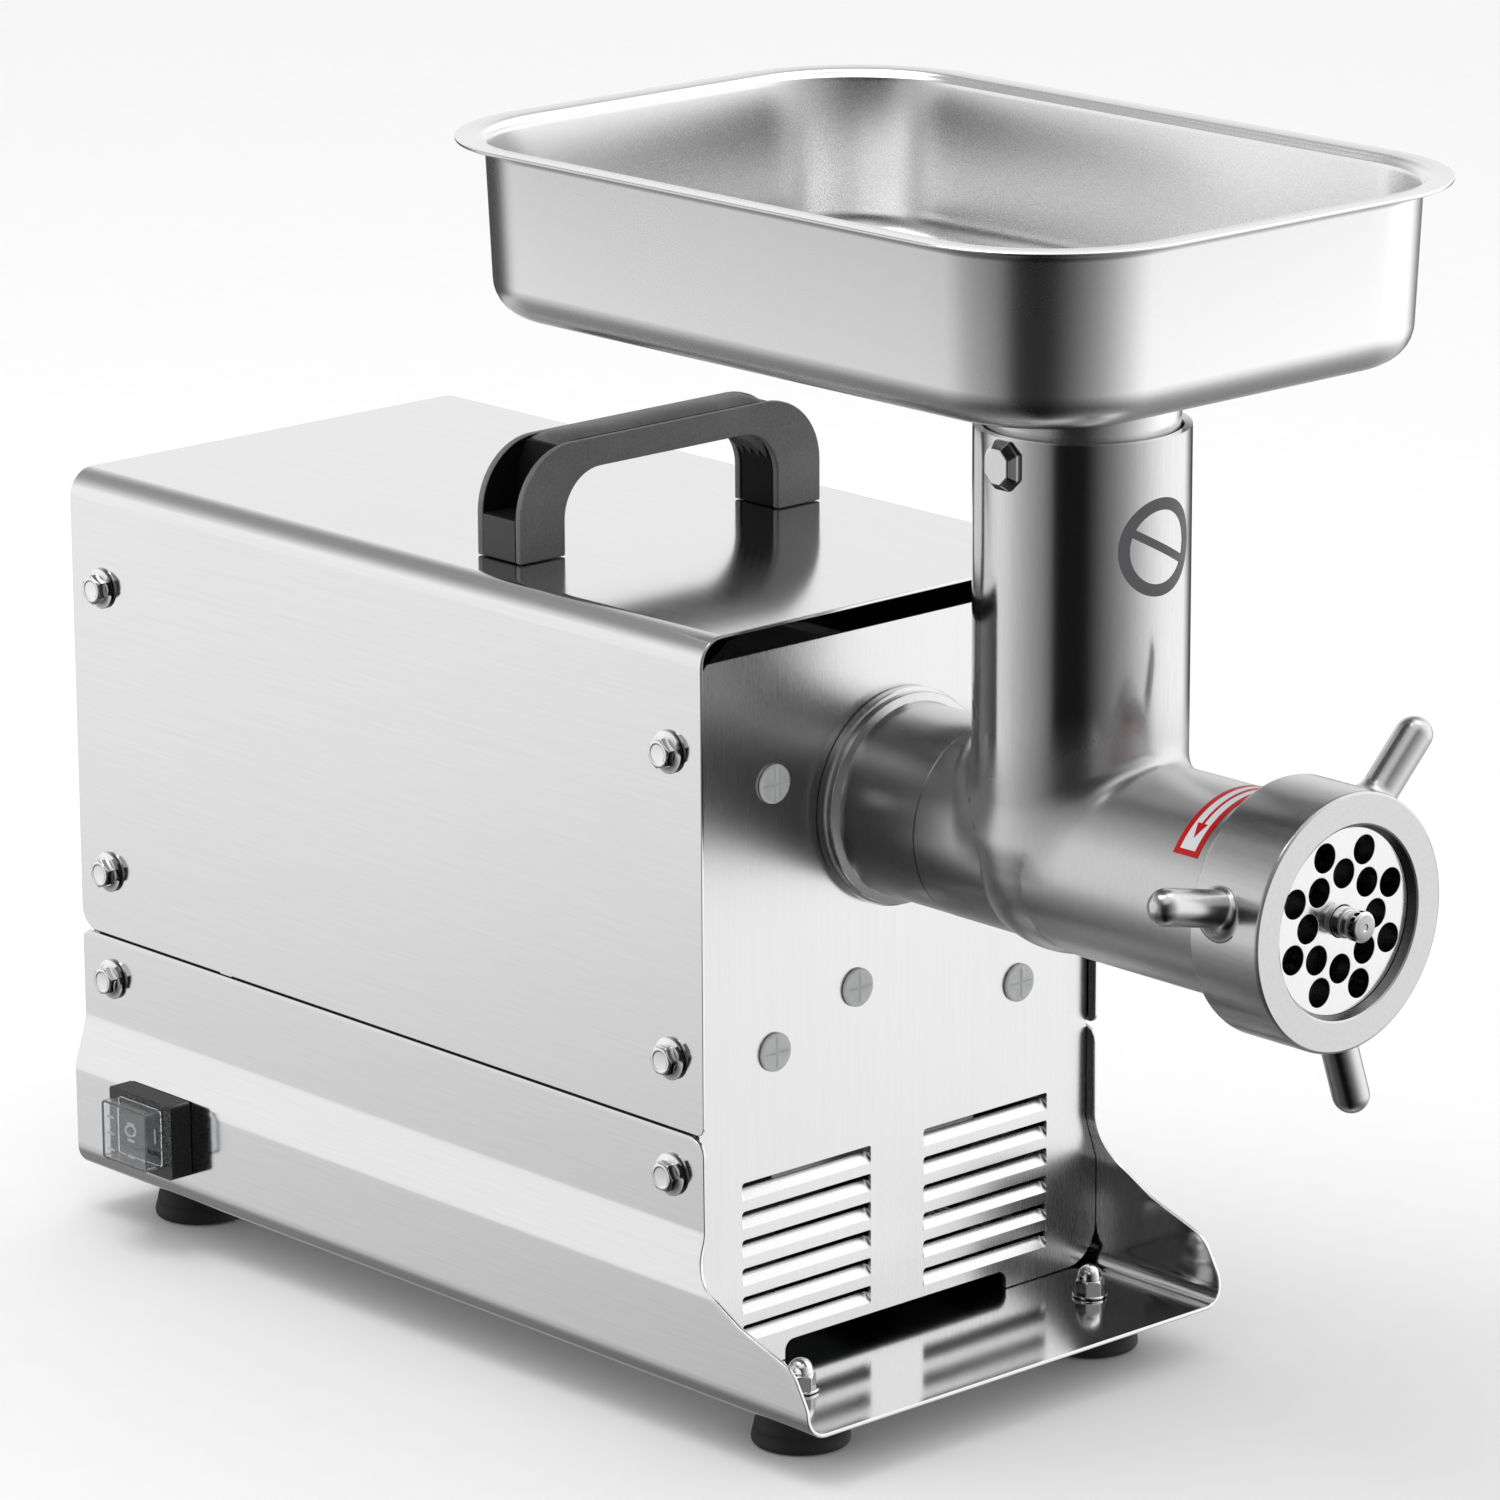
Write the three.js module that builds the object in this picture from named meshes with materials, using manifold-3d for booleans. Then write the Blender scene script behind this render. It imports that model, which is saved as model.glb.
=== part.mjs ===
// Counter-top electric meat grinder, size 12.
//
// Millimetres, +Z up. The machine is drawn with X across it, the front edge of its cover at Y = 0
// with -Y towards the grinding head, and Z = 0 under the rubber feet. The last lines move the whole
// machine so that the origin is the centre of its footprint, at foot level.
//
// A folded base and a folded cover are bolted over two end panels. Inside, an induction motor drives
// the screw through two spur gear stages. The head pushes into a socket on the gearbox, and carries
// the feed screw, knife, plate and ring nut; a removable tray drops into its feed tube.

import * as THREE from 'three';
import { mergeVertices } from 'three/addons/utils/BufferGeometryUtils.js';
import Module from 'manifold-3d';

const wasm = await Module();
wasm.setup();

// ---------------------------------------------------------------------------------------------
// Driving dimensions
// ---------------------------------------------------------------------------------------------

const GAP = 0.3; // clearance between neighbouring solids
const PAST = 1; // how far a cutter runs past the face it opens

// Facets on a full turn
const FINE = 28;
const MEDIUM = 16;
const COARSE = 12;
const SCREW = 8;

// Body
const HALF_WIDTH = 96; // outer half width of the cover and of the upper base
const DEPTH = 348;
const COVER_TOP = 287;
const SEAM_Z = 110; // line where the cover meets the base
const SEAM_HALF_GAP = 0.6;
const COVER_SHEET = 1.2;
const BASE_SHEET = 1.5;
const COVER_BEND = 10; // outer bend radius of the cover's long top edges
const CORNER_R = 3; // cut corners of the sheets along the seam
const COVER_REAR_CORNER_R = 8;
const FOOT_HEIGHT = 16.5;
const FLARE_HALF_WIDTH = 101.5; // outer half width of the flared lower base
const FLARE_TOP_Z = 74;
const FLARE_FOOT_Z = 57;
const BASE_BEND = 8;
const LIP_REACH = 59; // how far the base floor runs out in front of the cover
const LIP_SHOULDER = { y: -1, z: 59, bend: 14 }; // where the side wall starts to sweep forwards
const LIP_KNEE = { y: -48, z: 41.5, bend: 16 }; // where it drops to the end of the lip
const FLARE_BEND = 14;

// End panels
const PANEL_SHEET = 1.5;
const FRONT_PANEL_Y = 4;
const REAR_PANEL_Y = DEPTH - 4 - PANEL_SHEET;
const FRONT_PANEL_TOP = 276.5; // leaves a ventilation slot under the cover
const PANEL_FLANGE = 24;
const LOUVER_ROWS = 6;
const REAR_LOUVER_ROWS = 4;
const LOUVER_PITCH = 10.3;
const LOUVER_TOP_Z = 87;
const LOUVER_LENGTH = 61.5;
const LOUVER_SLOT = 4.4;
const LOUVER_X = 44; // centre of each column of louvers

// Fasteners
const BOLT_ROWS = [245, 135.5, 93.5]; // two rows through the cover, one through the base
const BOLT_COLUMNS = [16.3, 330.5];
const BOLT_FLANGE_R = 7.1;
const BOLT_SHANK_R = 2.9;
const BOLT_HOLE_R = 3.3;
const HEX_ACROSS_FLATS = 10;

// Drive train
const AXIS_Z = 213.6; // grinding head and output shaft
const GEAR_MODULE = 2;
const PINION_TEETH = 14;
const WHEEL_TEETH = 42;
const CENTRE_DISTANCE = (GEAR_MODULE * (PINION_TEETH + WHEEL_TEETH)) / 2;
const LAYSHAFT_Z = AXIS_Z - CENTRE_DISTANCE;
const MOTOR_Z = LAYSHAFT_Z - CENTRE_DISTANCE;
const FACE_WIDTH = 12;
const OUTPUT_STAGE_Y = 24; // front face of the output wheel
const INPUT_STAGE_Y = 42; // front face of the layshaft wheel
const GEARBOX_FRONT_Y = 16.3;
const GEARBOX_SPLIT_Y = 62;
const GEARBOX_BACK_Y = 70.3;
const GEARBOX_WALL = 4;
const GEARBOX_HALF_WIDTH = 50;
const GEARBOX_FLOOR_Z = 72;
const MOTOR_R = 62;
const MOTOR_BORE_R = 47;
const MOTOR_FRONT_Y = GEARBOX_BACK_Y + GAP;
const MOTOR_SPLIT_Y = 210;
const MOTOR_BACK_Y = 236;

// Grinding head, radii about the head axis
const SOCKET_R = 34.5;
const SOCKET_END_Y = -40;
const SPIGOT_R = 30;
const BARREL_R = 35.5;
const AUGER_BORE_R = 29.3;
const THREAD_R = 39.3; // outside of the threaded front end
const BARREL_END_Y = -203;
const RING_R = 44.3;
const RING_BACK_Y = -180;
const RING_FRONT_Y = -210.4;
const RING_OPENING_R = 33;
const RING_BORE_R = 39.8;
const WING_ANGLES = [47, 167, 287];
const WING_REACH = 77;
const WING_R = 6.2;
const WING_Y = -192;
const PLATE_R = 34.8;
const PLATE_FRONT_Y = -207;
const PLATE_THICKNESS = 8;
const PLATE_HOLE_R = 5;
const PLATE_RINGS = [
  { radius: 16.2, count: 8, first: 90 },
  { radius: 24.7, count: 8, first: 67.5 },
];
const STUD_R = 5.3;
const STUD_END_Y = -217.5;

// Feed tube and tray
const TUBE_Y = -85.4;
const TUBE_R = 36.9;
const TUBE_BORE_R = 33.4;
const TUBE_TOP_Z = 361.6;
const TRAY_HALF_WIDTH = 112.5;
const TRAY_FRONT_Y = -181;
const TRAY_BACK_Y = 141.4;
const TRAY_RIM_Z = 444;
const TRAY_FLOOR_Z = 381.5; // underside of the tray floor
const TRAY_CORNER_R = 58;
const TRAY_RIM_WIDTH = 10.2;
const TRAY_SHEET = 1.2;
const TRAY_BEND = 13;
const TRAY_TAPER = 0.035; // how far the wall leans in, for each millimetre down
const NECK_TOP_R = 34.6; // the neck is a cone that wedges into the top of the feed tube
const NECK_RIM_R = 33; // at the tube's rim
const NECK_BOTTOM_R = 31;
const NECK_BOTTOM_Z = 336;

// Carrying handle
const HANDLE_HALF_LENGTH = 72;
const HANDLE_FRONT_Y = 120;
const HANDLE_BACK_Y = 143.5;
const HANDLE_TOP_Z = 329.5;
const HANDLE_LEG = 21;
const HANDLE_GRIP = 11;
const HANDLE_BEND = 27;
const HANDLE_WALL = 4;
const HANDLE_SILL = 15.5; // height of the solid foot below each pocket

// Switch, on the left side of the base near the back
const SWITCH_Y = 296.5;
const SWITCH_Z = 44;
const SWITCH_FACE_X = -111;
const SWITCH_HOOD_X = -119;
const SWITCH_HOLE = { halfY: 17, halfZ: 13 };
const SWITCH_BEZEL = { halfY: 18.5, halfZ: 14.5 };
const SWITCH_BODY = { halfY: 16.5, halfZ: 12.5, depth: 20 };
const SWITCH_HOOD = { halfY: 13.2, below: 11, above: 12, wall: 1 };

// Feet
const FOOT_X = 71;
const FOOT_ROWS = [-22, 312];
const FOOT_BOTTOM_R = 17.5;
const FOOT_TOP_R = 14.5;

const steel = { color: 0xc9cbcc, metalness: 1, roughness: 0.3 };
const castSteel = { color: 0xb9bbbd, metalness: 1, roughness: 0.36 };
const polished = { color: 0xd8dadb, metalness: 1, roughness: 0.15 };
const aluminium = { color: 0xa9acae, metalness: 1, roughness: 0.5 };
const blackPlastic = { color: 0x1a1a1b, metalness: 0, roughness: 0.55 };
const blackRubber = { color: 0x0d0d0d, metalness: 0, roughness: 0.85 };
const greyPlastic = { color: 0x9c9ea0, metalness: 0, roughness: 0.4 };
const clearPlastic = { color: 0xdfe4e6, metalness: 0, roughness: 0.1, transparent: true, opacity: 0.35 };
const motorPaint = { color: 0x2f3335, metalness: 0.2, roughness: 0.6 };
const gearSteel = { color: 0x8b8e90, metalness: 1, roughness: 0.4 };
const fibre = { color: 0xd9d4c4, metalness: 0, roughness: 0.7 };

// ---------------------------------------------------------------------------------------------
// Solids
// ---------------------------------------------------------------------------------------------

const radians = THREE.MathUtils.degToRad;

/** Turns a closed three.js geometry into a manifold solid with its faces pointing outwards. */
function solid(geometry) {
  const bare = geometry.clone();
  bare.deleteAttribute('normal');
  bare.deleteAttribute('uv');
  const merged = mergeVertices(bare, 1e-4);
  const points = merged.attributes.position;
  const corners = merged.index.array;
  const kept = [];
  let volume = 0;
  const [a, b, c] = [new THREE.Vector3(), new THREE.Vector3(), new THREE.Vector3()];
  for (let i = 0; i < corners.length; i += 3) {
    const [p, q, r] = [corners[i], corners[i + 1], corners[i + 2]];
    if (p === q || q === r || r === p) continue;
    kept.push(p, q, r);
    a.fromBufferAttribute(points, p);
    b.fromBufferAttribute(points, q);
    c.fromBufferAttribute(points, r);
    volume += a.dot(b.cross(c));
  }
  if (volume < 0) kept.reverse();
  const mesh = new wasm.Mesh({
    numProp: 3,
    vertProperties: new Float32Array(points.array),
    triVerts: new Uint32Array(kept),
  });
  return new wasm.Manifold(mesh);
}

/** Turns a manifold solid back into a three.js geometry. */
function geometryOf(manifold) {
  const mesh = manifold.getMesh();
  const geometry = new THREE.BufferGeometry();
  geometry.setAttribute('position', new THREE.BufferAttribute(new Float32Array(mesh.vertProperties), 3));
  geometry.setIndex(new THREE.BufferAttribute(new Uint32Array(mesh.triVerts), 1));
  const flat = geometry.toNonIndexed();
  flat.computeVertexNormals();
  return flat;
}

/** Adds every solid of a list to the first one. */
function join(parts) {
  return parts.reduce((sum, part) => sum.add(part));
}

/** Cuts every solid of a list out of a body. */
function cut(body, cutters) {
  return cutters.reduce((rest, cutter) => rest.subtract(cutter), body);
}

function extruded(shape, depth, curveSegments = 8) {
  return new THREE.ExtrudeGeometry(shape, { depth, bevelEnabled: false, curveSegments });
}

/** A shape drawn in X and Z, extruded along Y from one value to another. */
function alongY(shape, fromY, toY, curveSegments) {
  const geometry = extruded(shape, toY - fromY, curveSegments);
  geometry.rotateX(Math.PI / 2);
  geometry.translate(0, toY, 0);
  return solid(geometry);
}

/** A shape drawn in Y and Z, extruded along X from one value to another. */
function alongX(shape, fromX, toX, curveSegments) {
  const geometry = extruded(shape, toX - fromX, curveSegments);
  const turn = new THREE.Matrix4().makeBasis(
    new THREE.Vector3(0, 1, 0),
    new THREE.Vector3(0, 0, 1),
    new THREE.Vector3(1, 0, 0),
  );
  geometry.applyMatrix4(turn);
  geometry.translate(fromX, 0, 0);
  return solid(geometry);
}

/** A shape drawn in X and Y, extruded along Z from one value to another. */
function alongZ(shape, fromZ, toZ, curveSegments) {
  const geometry = extruded(shape, toZ - fromZ, curveSegments);
  geometry.translate(0, 0, fromZ);
  return solid(geometry);
}

/** A box from its lowest to its highest corner. */
function block(low, high) {
  const size = high.map((value, axis) => value - low[axis]);
  const geometry = new THREE.BoxGeometry(...size);
  geometry.translate(...low.map((value, axis) => value + size[axis] / 2));
  return solid(geometry);
}

/** A profile of [radius, y] points turned about the Y axis. */
function turnedY(profile, segments = FINE) {
  const points = profile.map(([radius, y]) => new THREE.Vector2(radius, y));
  return solid(new THREE.LatheGeometry(points, segments));
}

/** A profile of [radius, z] points turned about the Z axis. */
function turnedZ(profile, segments = FINE) {
  const points = profile.map(([radius, z]) => new THREE.Vector2(radius, z));
  const geometry = new THREE.LatheGeometry(points, segments);
  geometry.rotateX(Math.PI / 2);
  return solid(geometry);
}

/** A plain cylinder along Y. */
function rodY(radius, fromY, toY, x = 0, z = 0, segments = MEDIUM) {
  const profile = [[0, fromY], [radius, fromY], [radius, toY], [0, toY]];
  return turnedY(profile, segments).translate([x, 0, z]);
}

/** A plain cylinder along Z. */
function rodZ(radius, fromZ, toZ, x = 0, y = 0, segments = MEDIUM) {
  const profile = [[0, fromZ], [radius, fromZ], [radius, toZ], [0, toZ]];
  return turnedZ(profile, segments).translate([x, y, 0]);
}

/** A plain cylinder along X. */
function rodX(radius, fromX, toX, y, z, segments = MEDIUM) {
  const geometry = new THREE.CylinderGeometry(radius, radius, toX - fromX, segments);
  geometry.rotateZ(Math.PI / 2);
  geometry.translate((fromX + toX) / 2, y, z);
  return solid(geometry);
}

/** A closed ring about the Y axis, such as a bearing or a washer. */
function ringY(inner, outer, fromY, toY, segments = MEDIUM) {
  return turnedY([[inner, fromY], [outer, fromY], [outer, toY], [inner, toY], [inner, fromY]], segments);
}

/** A regular polygon shape, given the distance between its flats. */
function polygon(sides, acrossFlats) {
  const radius = acrossFlats / 2 / Math.cos(Math.PI / sides);
  const points = [];
  for (let k = 0; k < sides; k += 1) {
    const angle = (2 * Math.PI * (k + 0.5)) / sides;
    points.push(new THREE.Vector2(radius * Math.cos(angle), radius * Math.sin(angle)));
  }
  return new THREE.Shape(points);
}

/** A rectangle with rounded corners, centred on a point. */
function roundedRectangle(width, height, radius, centreX = 0, centreY = 0) {
  const [x0, x1] = [centreX - width / 2, centreX + width / 2];
  const [y0, y1] = [centreY - height / 2, centreY + height / 2];
  const shape = new THREE.Shape();
  shape.moveTo(x0 + radius, y0);
  shape.lineTo(x1 - radius, y0);
  shape.absarc(x1 - radius, y0 + radius, radius, -Math.PI / 2, 0);
  shape.lineTo(x1, y1 - radius);
  shape.absarc(x1 - radius, y1 - radius, radius, 0, Math.PI / 2);
  shape.lineTo(x0 + radius, y1);
  shape.absarc(x0 + radius, y1 - radius, radius, Math.PI / 2, Math.PI);
  shape.lineTo(x0, y0 + radius);
  shape.absarc(x0 + radius, y0 + radius, radius, Math.PI, 1.5 * Math.PI);
  return shape;
}

/** Replaces each inner corner of an open path by an arc. Corners are [x, y, radius]. */
function roundedPath(corners, stepsPerBend = 3) {
  const path = [new THREE.Vector2(corners[0][0], corners[0][1])];
  for (let i = 1; i < corners.length - 1; i += 1) {
    const here = new THREE.Vector2(corners[i][0], corners[i][1]);
    const back = new THREE.Vector2(corners[i - 1][0], corners[i - 1][1]).sub(here).normalize();
    const ahead = new THREE.Vector2(corners[i + 1][0], corners[i + 1][1]).sub(here).normalize();
    const half = Math.acos(THREE.MathUtils.clamp(back.dot(ahead), -1, 1)) / 2;
    const radius = corners[i][2];
    const toCentre = back.clone().add(ahead).normalize().multiplyScalar(radius / Math.sin(half));
    const centre = here.clone().add(toCentre);
    const start = here.clone().addScaledVector(back, radius / Math.tan(half)).sub(centre);
    const sweep = Math.PI - 2 * half;
    const sense = Math.sign(ahead.cross(back));
    for (let k = 0; k <= stepsPerBend; k += 1) {
      const angle = (sense * sweep * k) / stepsPerBend;
      path.push(start.clone().rotateAround(new THREE.Vector2(), angle).add(centre));
    }
  }
  const last = corners[corners.length - 1];
  path.push(new THREE.Vector2(last[0], last[1]));
  return path;
}

/** A folded sheet's section: a path and the same path set off to its left by the sheet's thickness. */
function sheetSection(path, thickness) {
  const inner = path.map((point, i) => {
    const before = path[Math.max(i - 1, 0)];
    const after = path[Math.min(i + 1, path.length - 1)];
    const into = point.clone().sub(before).normalize();
    const out = after.clone().sub(point).normalize();
    const along = i === 0 ? out : i === path.length - 1 ? into : into.clone().add(out).normalize();
    const stretch = i === 0 || i === path.length - 1 ? 1 : 1 / along.dot(out);
    return new THREE.Vector2(-along.y, along.x).multiplyScalar(thickness * stretch).add(point);
  });
  return new THREE.Shape([...path, ...inner.reverse()]);
}

/** Skins a list of rings of points, each with as many points, into one closed ring-shaped solid. */
function skinned(rings) {
  const count = rings[0].length;
  const positions = rings.flat().flatMap((point) => [point.x, point.y, point.z]);
  const index = [];
  rings.forEach((_, level) => {
    const next = (level + 1) % rings.length;
    for (let k = 0; k < count; k += 1) {
      const [a, b] = [level * count + k, level * count + ((k + 1) % count)];
      const [c, d] = [next * count + k, next * count + ((k + 1) % count)];
      index.push(a, b, d, a, d, c);
    }
  });
  const geometry = new THREE.BufferGeometry();
  geometry.setAttribute('position', new THREE.Float32BufferAttribute(positions, 3));
  geometry.setIndex(index);
  return solid(geometry);
}

const machine = new THREE.Group();

/** Puts a solid into the machine as a named part. */
function place(parent, name, manifold, material) {
  const mesh = new THREE.Mesh(geometryOf(manifold), new THREE.MeshStandardMaterial(material));
  mesh.name = name;
  parent.add(mesh);
  return mesh;
}

// ---------------------------------------------------------------------------------------------
// Sheet-metal body
// ---------------------------------------------------------------------------------------------

/** The path of the base's outer face, down one side, across the floor and up the other side. */
function baseSideCorners(inset) {
  const [upper, lower] = [HALF_WIDTH - inset, FLARE_HALF_WIDTH - inset];
  const floor = FOOT_HEIGHT + inset;
  const left = [
    [-upper, SEAM_Z - SEAM_HALF_GAP, 0],
    [-upper, FLARE_TOP_Z, FLARE_BEND],
    [-lower, FLARE_FOOT_Z, FLARE_BEND],
    [-lower, floor, BASE_BEND - Math.min(inset, BASE_BEND / 2)],
  ];
  const right = left.map(([x, z, radius]) => [-x, z, radius]).reverse();
  return [...left, ...right];
}

/** The side view of the base: square at the back, and swept down into the lip at the front. */
function baseSideView() {
  const top = SEAM_Z - SEAM_HALF_GAP;
  const outline = roundedPath([
    [DEPTH, FOOT_HEIGHT - PAST, 0],
    [DEPTH, top, CORNER_R],
    [0, top, 2 * CORNER_R],
    [LIP_SHOULDER.y, LIP_SHOULDER.z, LIP_SHOULDER.bend],
    [LIP_KNEE.y, LIP_KNEE.z, LIP_KNEE.bend],
    [-LIP_REACH, FOOT_HEIGHT - PAST, 0],
  ], 5);
  return new THREE.Shape(outline);
}

function boltHoles(rows) {
  const holes = [];
  for (const z of rows) {
    for (const y of BOLT_COLUMNS) {
      holes.push(rodX(BOLT_HOLE_R, -FLARE_HALF_WIDTH, FLARE_HALF_WIDTH, y, z, SCREW));
    }
  }
  return holes;
}

function makeBase() {
  const section = sheetSection(roundedPath(baseSideCorners(0)), BASE_SHEET);
  const folded = alongY(section, -LIP_REACH, DEPTH);
  const sides = alongX(baseSideView(), -FLARE_HALF_WIDTH - PAST, FLARE_HALF_WIDTH + PAST);
  const switchHole = block(
    [-FLARE_HALF_WIDTH - PAST, SWITCH_Y - SWITCH_HOLE.halfY, SWITCH_Z - SWITCH_HOLE.halfZ],
    [-HALF_WIDTH + BASE_SHEET + PAST, SWITCH_Y + SWITCH_HOLE.halfY, SWITCH_Z + SWITCH_HOLE.halfZ],
  );
  const footHoles = FOOT_ROWS.flatMap((y) => [-FOOT_X, FOOT_X].map((x) => (
    rodZ(BOLT_HOLE_R, FOOT_HEIGHT - PAST, FOOT_HEIGHT + BASE_SHEET + PAST, x, y, SCREW)
  )));
  return cut(folded.intersect(sides), [...boltHoles([BOLT_ROWS[2]]), switchHole, ...footHoles]);
}

function makeCover() {
  const bottom = SEAM_Z + SEAM_HALF_GAP;
  const path = roundedPath([
    [HALF_WIDTH, bottom, 0],
    [HALF_WIDTH, COVER_TOP, COVER_BEND],
    [-HALF_WIDTH, COVER_TOP, COVER_BEND],
    [-HALF_WIDTH, bottom, 0],
  ], 5);
  const folded = alongY(sheetSection(path, COVER_SHEET), 0, DEPTH);
  const sideView = new THREE.Shape(roundedPath([
    [0, COVER_TOP + PAST, 0],
    [0, bottom, CORNER_R],
    [DEPTH, bottom, COVER_REAR_CORNER_R],
    [DEPTH, COVER_TOP + PAST, 0],
  ]));
  const sides = alongX(sideView, -HALF_WIDTH - PAST, HALF_WIDTH + PAST);
  return cut(folded.intersect(sides), boltHoles(BOLT_ROWS.slice(0, 2)));
}

const BLADE_DEPTH = 5;
const BLADE_RISE = 3.6;
const BLADE_THICKNESS = 1.2;

/** One louver: a blade that leans inwards from the lower edge of its slot. */
function louverBlade(x, slotBottom, faceY, inwards) {
  const back = faceY + inwards * BLADE_DEPTH;
  const blade = new THREE.Shape([
    new THREE.Vector2(faceY, slotBottom - BLADE_THICKNESS),
    new THREE.Vector2(back, slotBottom + BLADE_RISE - BLADE_THICKNESS),
    new THREE.Vector2(back, slotBottom + BLADE_RISE),
    new THREE.Vector2(faceY, slotBottom),
  ]);
  return alongX(blade, x - LOUVER_LENGTH / 2 + GAP, x + LOUVER_LENGTH / 2 - GAP);
}

/** A flat end panel with side flanges. Its flanges point inwards, +1 at the front and -1 at the back. */
function makePanel(faceY, top, inwards, louverRows) {
  const clear = BASE_SHEET + GAP;
  const half = HALF_WIDTH - clear;
  const low = FOOT_HEIGHT + clear;
  const wide = FLARE_HALF_WIDTH - clear;
  const outline = new THREE.Shape([
    ...roundedPath([
      [-half, top, 0],
      [-half, FLARE_TOP_Z, FLARE_BEND],
      [-wide, FLARE_FOOT_Z, FLARE_BEND],
      [-wide, low, FLARE_BEND],
      [wide, low, FLARE_BEND],
      [wide, FLARE_FOOT_Z, FLARE_BEND],
      [half, FLARE_TOP_Z, FLARE_BEND],
      [half, top, 0],
    ]),
  ]);
  const innerY = faceY + inwards * PANEL_SHEET;
  const plate = alongY(outline, Math.min(faceY, innerY), Math.max(faceY, innerY));
  const farY = faceY + inwards * PANEL_FLANGE;
  const flanges = [-1, 1].map((side) => block(
    [Math.min(side * half, side * (half - PANEL_SHEET)), Math.min(faceY, farY), FLARE_TOP_Z + 6],
    [Math.max(side * half, side * (half - PANEL_SHEET)), Math.max(faceY, farY), FRONT_PANEL_TOP - 4],
  ));
  const slots = [];
  const blades = [];
  for (const x of [-LOUVER_X, LOUVER_X]) {
    for (let row = 0; row < louverRows; row += 1) {
      const slotTop = LOUVER_TOP_Z - row * LOUVER_PITCH;
      slots.push(block(
        [x - LOUVER_LENGTH / 2, Math.min(faceY, innerY) - PAST, slotTop - LOUVER_SLOT],
        [x + LOUVER_LENGTH / 2, Math.max(faceY, innerY) + PAST, slotTop],
      ));
      blades.push(louverBlade(x, slotTop - LOUVER_SLOT, faceY, inwards));
    }
  }
  const slotted = cut(join([plate, ...flanges]), slots);
  return cut(join([slotted, ...blades]), boltHoles(BOLT_ROWS));
}

const PLUG_PLACES = [[-59, 229], [59, 229], [-59, 132.5], [59.5, 132.5], [-19.7, 147.6]];
const PLUG_R = 7;
const PLUG_HOLE_R = 5.8;
const NOTCH_WIDTH = 109; // drain notch at the foot of the front panel
const NOTCH_HEIGHT = 13;

function makeFrontPanel() {
  const [fromY, toY] = [FRONT_PANEL_Y - PAST, FRONT_PANEL_Y + PANEL_SHEET + PAST];
  const notchShape = roundedRectangle(NOTCH_WIDTH, NOTCH_HEIGHT, CORNER_R, 0, FOOT_HEIGHT + BASE_SHEET);
  const notch = alongY(notchShape, fromY, toY, 4);
  const socketHole = rodY(SOCKET_R + 0.8, fromY, toY, 0, AXIS_Z, FINE);
  const plugHoles = PLUG_PLACES.map(([x, z]) => rodY(PLUG_HOLE_R, fromY, toY, x, z, COARSE));
  return cut(makePanel(FRONT_PANEL_Y, FRONT_PANEL_TOP, 1, LOUVER_ROWS), [notch, socketHole, ...plugHoles]);
}

const GLAND_PLACE = { x: -66, z: 120 };
const GLAND_HOLE_R = 8.3;
const GLAND_FLANGE_R = GLAND_HOLE_R + 2.5;
const GLAND_BORE_R = 4;
const GLAND_NUT_Y = REAR_PANEL_Y - 8;

function makeRearPanel() {
  const outerY = REAR_PANEL_Y + PANEL_SHEET;
  const glandHole = rodY(GLAND_HOLE_R, REAR_PANEL_Y - PAST, outerY + PAST, GLAND_PLACE.x, GLAND_PLACE.z);
  return makePanel(outerY, FRONT_PANEL_TOP, -1, REAR_LOUVER_ROWS).subtract(glandHole);
}

/** A cord gland: a flanged nose outside, a nut inside, and a bore for the cord. */
function makeGland() {
  const outer = REAR_PANEL_Y + PANEL_SHEET;
  const profile = [
    [GLAND_BORE_R, GLAND_NUT_Y],
    [GLAND_FLANGE_R, GLAND_NUT_Y],
    [GLAND_FLANGE_R, REAR_PANEL_Y - GAP],
    [GLAND_HOLE_R - GAP, REAR_PANEL_Y - GAP],
    [GLAND_HOLE_R - GAP, outer + GAP],
    [GLAND_FLANGE_R, outer + GAP],
    [GLAND_FLANGE_R, outer + 5],
    [7, outer + 7],
    [6, outer + 13],
    [GLAND_BORE_R, outer + 13],
    [GLAND_BORE_R, GLAND_NUT_Y],
  ];
  return turnedY(profile, COARSE).translate([GLAND_PLACE.x, 0, GLAND_PLACE.z]);
}

const BOLT_LENGTH = 12;
const BOLT_HEAD_HEIGHT = 5.4;

/** A flange-head hexagon bolt. Its head points along +Z and the flange rests on Z = 0. */
function makeFlangeBolt() {
  const shank = rodZ(BOLT_SHANK_R, -BOLT_LENGTH, 1, 0, 0, SCREW);
  const flange = turnedZ([[0, GAP], [BOLT_FLANGE_R, GAP], [BOLT_FLANGE_R, 1.1], [0, 1.9]], COARSE);
  const head = alongZ(polygon(6, HEX_ACROSS_FLATS - 1), 1, BOLT_HEAD_HEIGHT);
  return join([shank, flange, head]);
}

/** A domed hexagon nut on the floor, with the foot's screw hanging from it. */
function makeAcornNut() {
  const floor = BASE_SHEET + GAP;
  const screw = rodZ(BOLT_SHANK_R, -10, floor + 1, 0, 0, SCREW);
  const hex = alongZ(polygon(6, HEX_ACROSS_FLATS), floor, floor + 5);
  const dome = turnedZ([
    [0, floor + 4],
    [4.5, floor + 4],
    [4.5, floor + 8],
    [3, floor + 11],
    [0, floor + 12],
  ], COARSE);
  return join([screw, hex, dome]);
}

function makeFoot() {
  const top = FOOT_HEIGHT - GAP;
  const profile = [
    [0, 0],
    [FOOT_BOTTOM_R - 1, 0],
    [FOOT_BOTTOM_R, 1.5],
    [FOOT_TOP_R, top],
    [BOLT_HOLE_R, top],
    [BOLT_HOLE_R, 5],
    [0, 5],
  ];
  return turnedZ(profile, MEDIUM);
}

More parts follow.
